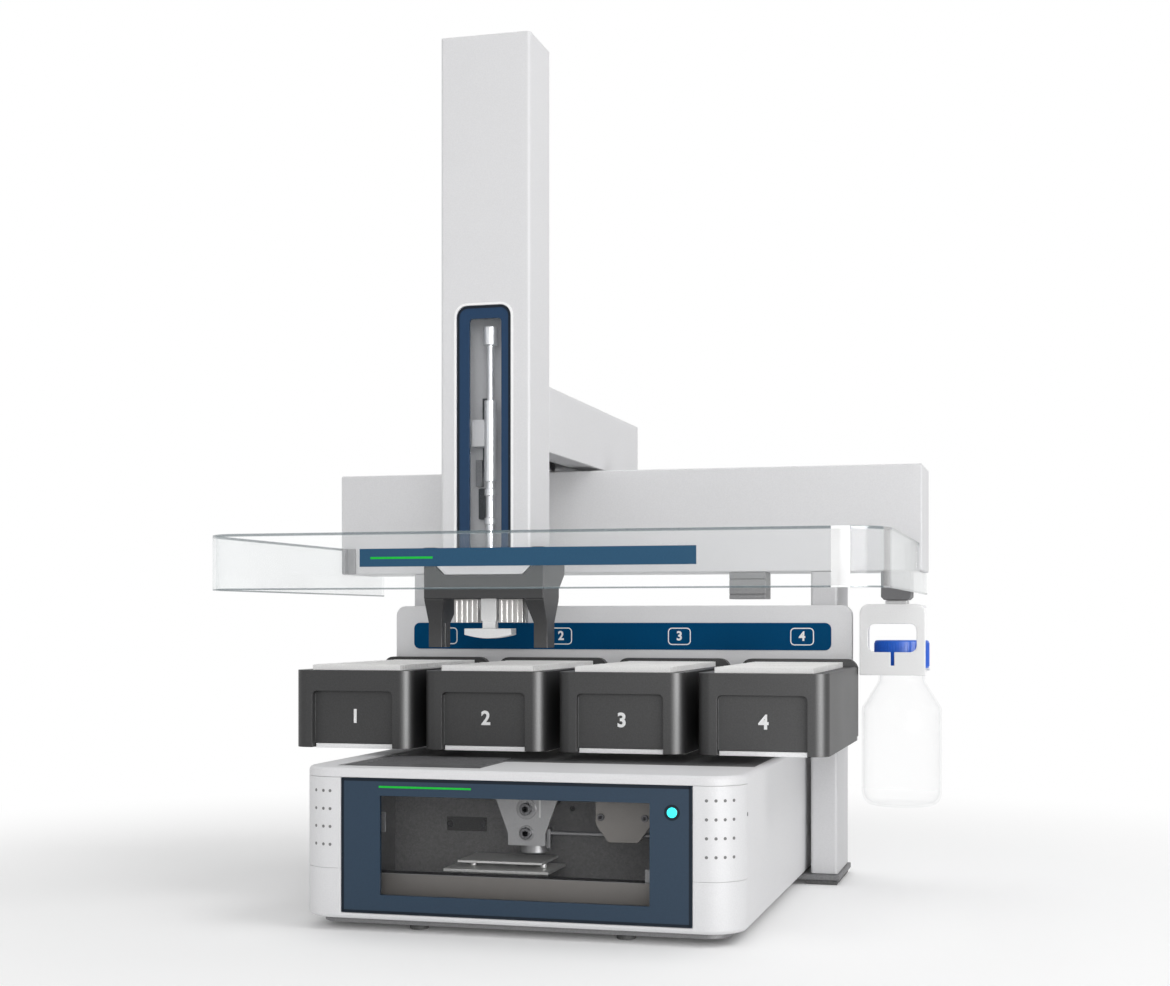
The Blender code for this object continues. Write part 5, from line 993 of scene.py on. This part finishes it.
# Tower with its slot.
# A tall folded cover with a formed lip round the slot, painted lighter than the cover as a painted
# highlight on its rounded edge, a collar at its foot, and a blue frame that holds a clear pane in front of
# the lift rod.
lip_highlight_paint = surface("lip highlight paint", (0.92, 0.92, 0.92), 0.42, grain=0.02, size=0.0011, bump=0.04)
slot_blue = surface(
    "slot moulding",
    (0.012, 0.044, 0.105),
    0.40,
    grain=0.04,
    size=0.0016,
    bump=0.05,
    tone=0.10,
    gloss=0.2,
)
slot_clear = clear("slot pane", (0.45, 0.52, 0.60), face=0.03, glancing=0.4)
TOWER_TOP = 0.7826
LIP_CENTRE = (-0.0679, 0.1313, 0.4278)
RIM_SHADE_CENTRE = (-0.0679, 0.1326, 0.4278)


def on_tower_outline(point, edge):
    """Is this edge on the tower's top?"""
    return point.z > TOWER_TOP


bm = copied("tower_cover", whole=False)
eased(bm, width=0.0022, steps=4, chosen=on_tower_outline)
eased(bm, width=0.0006)
finished("tower_cover_finish", bm, housing, "arm", ("tower_cover",))
# The lip is painted lighter than the cover: a painted highlight on its rounded edge.
bm = edged(width=0.0556, height=0.2306, corner=0.0123, band=0.0022, thick=0.0009, centre=at(*LIP_CENTRE))
eased(bm, width=0.0003)
finished("tower_slot_lip", bm, lip_highlight_paint, "arm", ())
dressed("tower_back", housing, ease=0.0004)
dressed("tower_window_frame", slot_blue, ease=0.0006)
# A dark band round the slot frame's outer rim: painted shade in the step down from the lip.
bm = edged(width=0.0502, height=0.2252, corner=0.0097, band=0.0022, thick=0.0003, centre=at(*RIM_SHADE_CENTRE))
finished("tower_frame_rim_shade", bm, bezel_and_rim_shade, "arm", ())
dressed("tower_window_pane", slot_clear, ease=0.0002)
dressed("z_motor", black, ease=0.0015)

# Lift rod behind the pane.
# Turned steel: a knurled nut at the top, a thin rod, a wide tube and a lower rod with two collars.
# Small black and grey blocks stand beside it: two sensors, two clips and two guides.
block_grey = surface("grey moulding", (0.24, 0.24, 0.245), 0.45, grain=0.1, size=0.0013, bump=0.15)
bright = surface("turned steel", (0.80, 0.81, 0.83), 0.30, grain=0.08, size=0.0006, bump=0.08, metallic=0.5)
SENSORS = (
    ((-0.0793, 0.1630, 0.4404), (-0.0747, 0.1698, 0.4612)),
    ((-0.0790, 0.1630, 0.3943), (-0.0747, 0.1698, 0.4178)),
)
CLIPS = (
    ((-0.0840, 0.1630, 0.4180), (-0.0750, 0.1698, 0.4402)),
    ((-0.0858, 0.1630, 0.3808), (-0.0797, 0.1698, 0.4052)),
)
GUIDES = (
    ((-0.0830, 0.1630, 0.3510), (-0.0760, 0.1698, 0.3790)),
    ((-0.0560, 0.1630, 0.3700), (-0.0530, 0.1698, 0.4250)),
)
dressed("z_shaft", bright, ease=0.0004)
blocks("tower_sensors", SENSORS, black, "arm", ease=0.0005)
blocks("tower_clips", CLIPS, block_grey, "arm", ease=0.0005)
blocks("tower_guides", GUIDES, black, "arm", ease=0.0005)

# Gripper under the tower.
# A dark moulded bar notched round the tower's collar, with two legs grooved to guide a card's
# edges; between them two ribbed jaws, and a white presser foot on a sprung stem.
grip = surface(
    "gripper plastic",
    (0.026, 0.026, 0.027),
    0.44,
    grain=0.12,
    size=0.0013,
    bump=0.2,
    tone=0.08,
)
jaw_metal = surface("jaw metal", (0.42, 0.41, 0.40), 0.34, grain=0.08, size=0.0009, bump=0.1, metallic=0.6)
white = surface("white moulding", (0.80, 0.80, 0.80), 0.32, grain=0.02, size=0.0012, bump=0.04)
dressed("gripper_frame", grip, ease=0.0010)
dressed("jaw_left", jaw_metal, ease=0.0003)
dressed("jaw_right", jaw_metal, ease=0.0003)
dressed("presser_foot", white, ease=0.0012)

# Shield round the front of the travel.
# One strip of clear acrylic, bent to a U with polished edges that look grey, hung from two grey
# brackets under the beam; a blue film with a plain green bar is stuck on its front.
TOP_CUT = (0.3310, 0.3318)
LOWER_CUT = (0.2866, 0.2860)
# Across the right bend, a pale band is a painted highlight and a grey band further round painted shade.
BEND_PAINTED_HIGHLIGHT = (0.2620, 0.0075, 0.45, 1.0)
BEND_PAINTED_SHADE = (0.2962, 0.0022, 0.22, 0.42)
SHIELD_ACCENT = ((-0.1360, 0.03255, 0.3106), (-0.0800, 0.0327, 0.3124))
acrylic = clear(
    "clear acrylic",
    (0.93, 0.99, 1.0),
    face=0.050,
    glancing=0.6,
    cuts=(TOP_CUT, LOWER_CUT),
    painted_bands=(BEND_PAINTED_HIGHLIGHT, BEND_PAINTED_SHADE),
)
strip_blue = surface(
    "shield film",
    (0.026, 0.088, 0.165),
    0.40,
    grain=0.04,
    size=0.0016,
    bump=0.04,
    tone=0.10,
    gloss=0.1,
)
bracket_paint = surface("bracket paint", (0.36, 0.36, 0.37), 0.5, grain=0.06)
dressed("shield", acrylic, ease=0.0005)
dressed("shield_strip", strip_blue, ease=0)
blocks("shield_accent", (SHIELD_ACCENT,), green, "bench")
dressed("shield_bracket_left", bracket_paint, ease=0.0005)
dressed("shield_bracket_right", bracket_paint, ease=0.0005)

# Reader block and hanger under the beam.
# Two grey mouldings screwed to the underside of the beam; the reader is ridged across its front.
hanger_grey = surface("hanger moulding", (0.115, 0.115, 0.12), 0.45, grain=0.1, size=0.0013, bump=0.15)
dressed("card_reader", block_grey, ease=0.0006)
dressed("bottle_hanger", hanger_grey, ease=0.0006)

# Bottle holder, wash bottle and cap.
# The holder is a folded white tray with a window that shows the cap; the bottle is a translucent
# blow moulding that hangs by its neck, closed by a ribbed blue cap.
bottle_plastic = clear("bottle plastic", (0.86, 0.88, 0.89), face=0.02, glancing=0.27)
cap_blue = surface(
    "cap plastic",
    (0.022, 0.150, 0.70),
    0.36,
    grain=0.06,
    size=0.001,
    bump=0.08,
    gloss=0.3,
)
BOTTLE_X = 0.2810
BOTTLE_Y = 0.3791
BOTTLE_SIDES = 64
BOTTLE_WALL = 0.0016
BOTTLE_SHOULDER = 0.1000
BOTTLE_OUTSIDE = (
    (0.0226, 0.2340),
    (0.0226, 0.2000),
    (0.0236, 0.1976),
    (0.0380, 0.1742),
    (0.03885, 0.1705),
    (0.03885, 0.0915),
    (0.0381, 0.0866),
    (0.0360, 0.0822),
    (0.0325, 0.0791),
    (0.0275, 0.0779),
)
CAP_FOOT = 0.21215
CAP_SIDES = 72
CAP_OUTSIDE = (
    (0.0229, 0.0245),
    (0.0229, 0.0),
    (0.0258, 0.0),
    (0.0262, 0.0010),
    (0.0262, 0.0250),
    (0.0258, 0.0262),
    (0.0246, 0.0269),
)
CAP_RIBS = 60
CAP_RIB_SIZE = (0.0012, 0.00105, 0.0226)
CAP_RIB_CENTRE = (0.0261, 0, 0.0131)
dressed("bottle_holder", white, ease=0.0008)
bottle_rings = []
for radius, height in BOTTLE_OUTSIDE[::-1]:
    lift = BOTTLE_WALL if height < BOTTLE_SHOULDER else 0
    bottle_rings.append((BOTTLE_SIDES, radius - BOTTLE_WALL, height + lift))
bottle_rings += [(BOTTLE_SIDES, radius, height) for radius, height in BOTTLE_OUTSIDE]
bm = bmesh.new()
stacked(bm, Matrix.Translation(at(BOTTLE_X, BOTTLE_Y, 0)), bottle_rings)
bottle_body = frame["nodes"]["wash_bottle"]["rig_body"]
finished("wash_bottle_finish", bm, bottle_plastic, bottle_body, ("wash_bottle",))
axis = Matrix.Translation(at(BOTTLE_X, BOTTLE_Y, CAP_FOOT))
bm = bmesh.new()
stacked(bm, axis, [(CAP_SIDES, radius, height) for radius, height in CAP_OUTSIDE])
for rib in range(CAP_RIBS):
    turn = Matrix.Rotation(2 * math.pi * rib / CAP_RIBS, 4, "Z")
    size = Matrix.Diagonal((*CAP_RIB_SIZE, 1))
    bmesh.ops.create_cube(bm, size=1, matrix=axis @ turn @ Matrix.Translation(CAP_RIB_CENTRE) @ size)
finished("bottle_cap_finish", bm, cap_blue, "cap", ("bottle_cap",), smooth=25)

# Camera at the photograph's angle.
# It stands level in front of the object and to its right; the lens is shifted up, so that upright
# edges stay upright in the picture.
CAMERA_PLACE = (0.42727, -1.36019, 0.25901)
CAMERA_YAW = 15.046
camera = bpy.data.cameras.new("camera")
camera.lens = 53.962
camera.sensor_width = 36
camera.sensor_fit = "HORIZONTAL"
camera.shift_y = 0.1084
camera.clip_start = 0.05
viewer = bpy.data.objects.new("camera", camera)
bpy.context.scene.collection.objects.link(viewer)
viewer.location = at(*CAMERA_PLACE)
viewer.rotation_euler = (math.pi / 2, 0, math.radians(CAMERA_YAW))
bpy.context.scene.camera = viewer

# Floor and light.
# A plain white floor keeps the object's soft shadow and fades to pure white further out. A key light
# stands in front, a fill at the right and a light overhead; a wide one shows in reflections only.
FLOOR_HALF = 9
FLOOR_DROP = 0.0002
FADE_START = 0.45
FADE_END = 1.1
LIGHT_DISTANCE = 3
LIGHT_CENTRE = Vector((0, 0, 0.35))
LIGHTS = (
    ("key light", 14, 8, 1.1, 1.4, 23.5),
    ("right light", 80, 48, 1.6, 1.6, 28),
    ("top light", 180, 76, 2.0, 1.6, 19),
    ("edge light", 45, 0, 2.0, 1.1, 240),
)
bm = bmesh.new()
bmesh.ops.create_grid(bm, x_segments=1, y_segments=1, size=FLOOR_HALF)
bmesh.ops.translate(bm, vec=(0, 0, -FLOOR_DROP), verts=bm.verts)
mesh = bpy.data.meshes.new("floor")
bm.to_mesh(mesh)
bm.free()
floor = bpy.data.objects.new("floor", mesh)
bpy.context.scene.collection.objects.link(floor)
paper = bpy.data.materials.new("floor paper")
paper.use_nodes = True
nodes = paper.node_tree.nodes
link = paper.node_tree.links.new
shader = nodes["Principled BSDF"]
shader.inputs["Base Color"].default_value = (0.96, 0.96, 0.96, 1)
shader.inputs["Roughness"].default_value = 0.9
shader.inputs["Specular IOR Level"].default_value = 0.1
white_floor = nodes.new("ShaderNodeEmission")
place = nodes.new("ShaderNodeTexCoord")
reach = nodes.new("ShaderNodeVectorMath")
reach.operation = "LENGTH"
link(place.outputs["Object"], reach.inputs[0])
fade = nodes.new("ShaderNodeMapRange")
fade.interpolation_type = "SMOOTHSTEP"
fade.inputs["From Min"].default_value = FADE_START
fade.inputs["From Max"].default_value = FADE_END
fade.inputs["To Min"].default_value = 0.06
fade.inputs["To Max"].default_value = 1.0
link(reach.outputs["Value"], fade.inputs["Value"])


def background_ray(nodes, link):
    """One where the ray comes from the camera, a reflection or a clear piece."""
    path = nodes.new("ShaderNodeLightPath")
    seen = nodes.new("ShaderNodeMath")
    seen.operation = "MAXIMUM"
    link(path.outputs["Is Camera Ray"], seen.inputs[0])
    link(path.outputs["Is Glossy Ray"], seen.inputs[1])
    either = nodes.new("ShaderNodeMath")
    either.operation = "MAXIMUM"
    link(seen.outputs["Value"], either.inputs[0])
    link(path.outputs["Is Transmission Ray"], either.inputs[1])
    return either.outputs["Value"]


share = nodes.new("ShaderNodeMath")
share.operation = "MULTIPLY"
link(background_ray(nodes, link), share.inputs[0])
link(fade.outputs["Result"], share.inputs[1])
mix = nodes.new("ShaderNodeMixShader")
link(share.outputs["Value"], mix.inputs["Fac"])
link(shader.outputs["BSDF"], mix.inputs[1])
link(white_floor.outputs["Emission"], mix.inputs[2])
link(mix.outputs["Shader"], nodes["Material Output"].inputs["Surface"])
mesh.materials.append(paper)

world = bpy.data.worlds.new("studio")
bpy.context.scene.world = world
world.use_nodes = True
nodes = world.node_tree.nodes
link = world.node_tree.links.new
soft = nodes["Background"]
soft.inputs["Color"].default_value = (1, 1, 1, 1)
soft.inputs["Strength"].default_value = 0.52
plain = nodes.new("ShaderNodeBackground")
plain.inputs["Color"].default_value = (1, 1, 1, 1)
plain.inputs["Strength"].default_value = 1.0
mix = nodes.new("ShaderNodeMixShader")
link(background_ray(nodes, link), mix.inputs["Fac"])
link(soft.outputs["Background"], mix.inputs[1])
link(plain.outputs["Background"], mix.inputs[2])
link(mix.outputs["Shader"], nodes["World Output"].inputs["Surface"])
for name, side, height, wide, tall, power in LIGHTS:
    turn = math.radians(side)
    rise = math.radians(height)
    away = Vector((math.sin(turn) * math.cos(rise), -math.cos(turn) * math.cos(rise), math.sin(rise)))
    place = away * LIGHT_DISTANCE
    light = bpy.data.lights.new(name, "AREA")
    light.shape = "RECTANGLE"
    light.size = wide
    light.size_y = tall
    light.energy = power
    lamp = bpy.data.objects.new(name, light)
    bpy.context.scene.collection.objects.link(lamp)
    lamp.location = place + LIGHT_CENTRE
    lamp.rotation_euler = (-place).to_track_quat("-Z", "Y").to_euler()
    lamp.visible_diffuse = name != "edge light"
bpy.context.scene.view_settings.view_transform = "Standard"
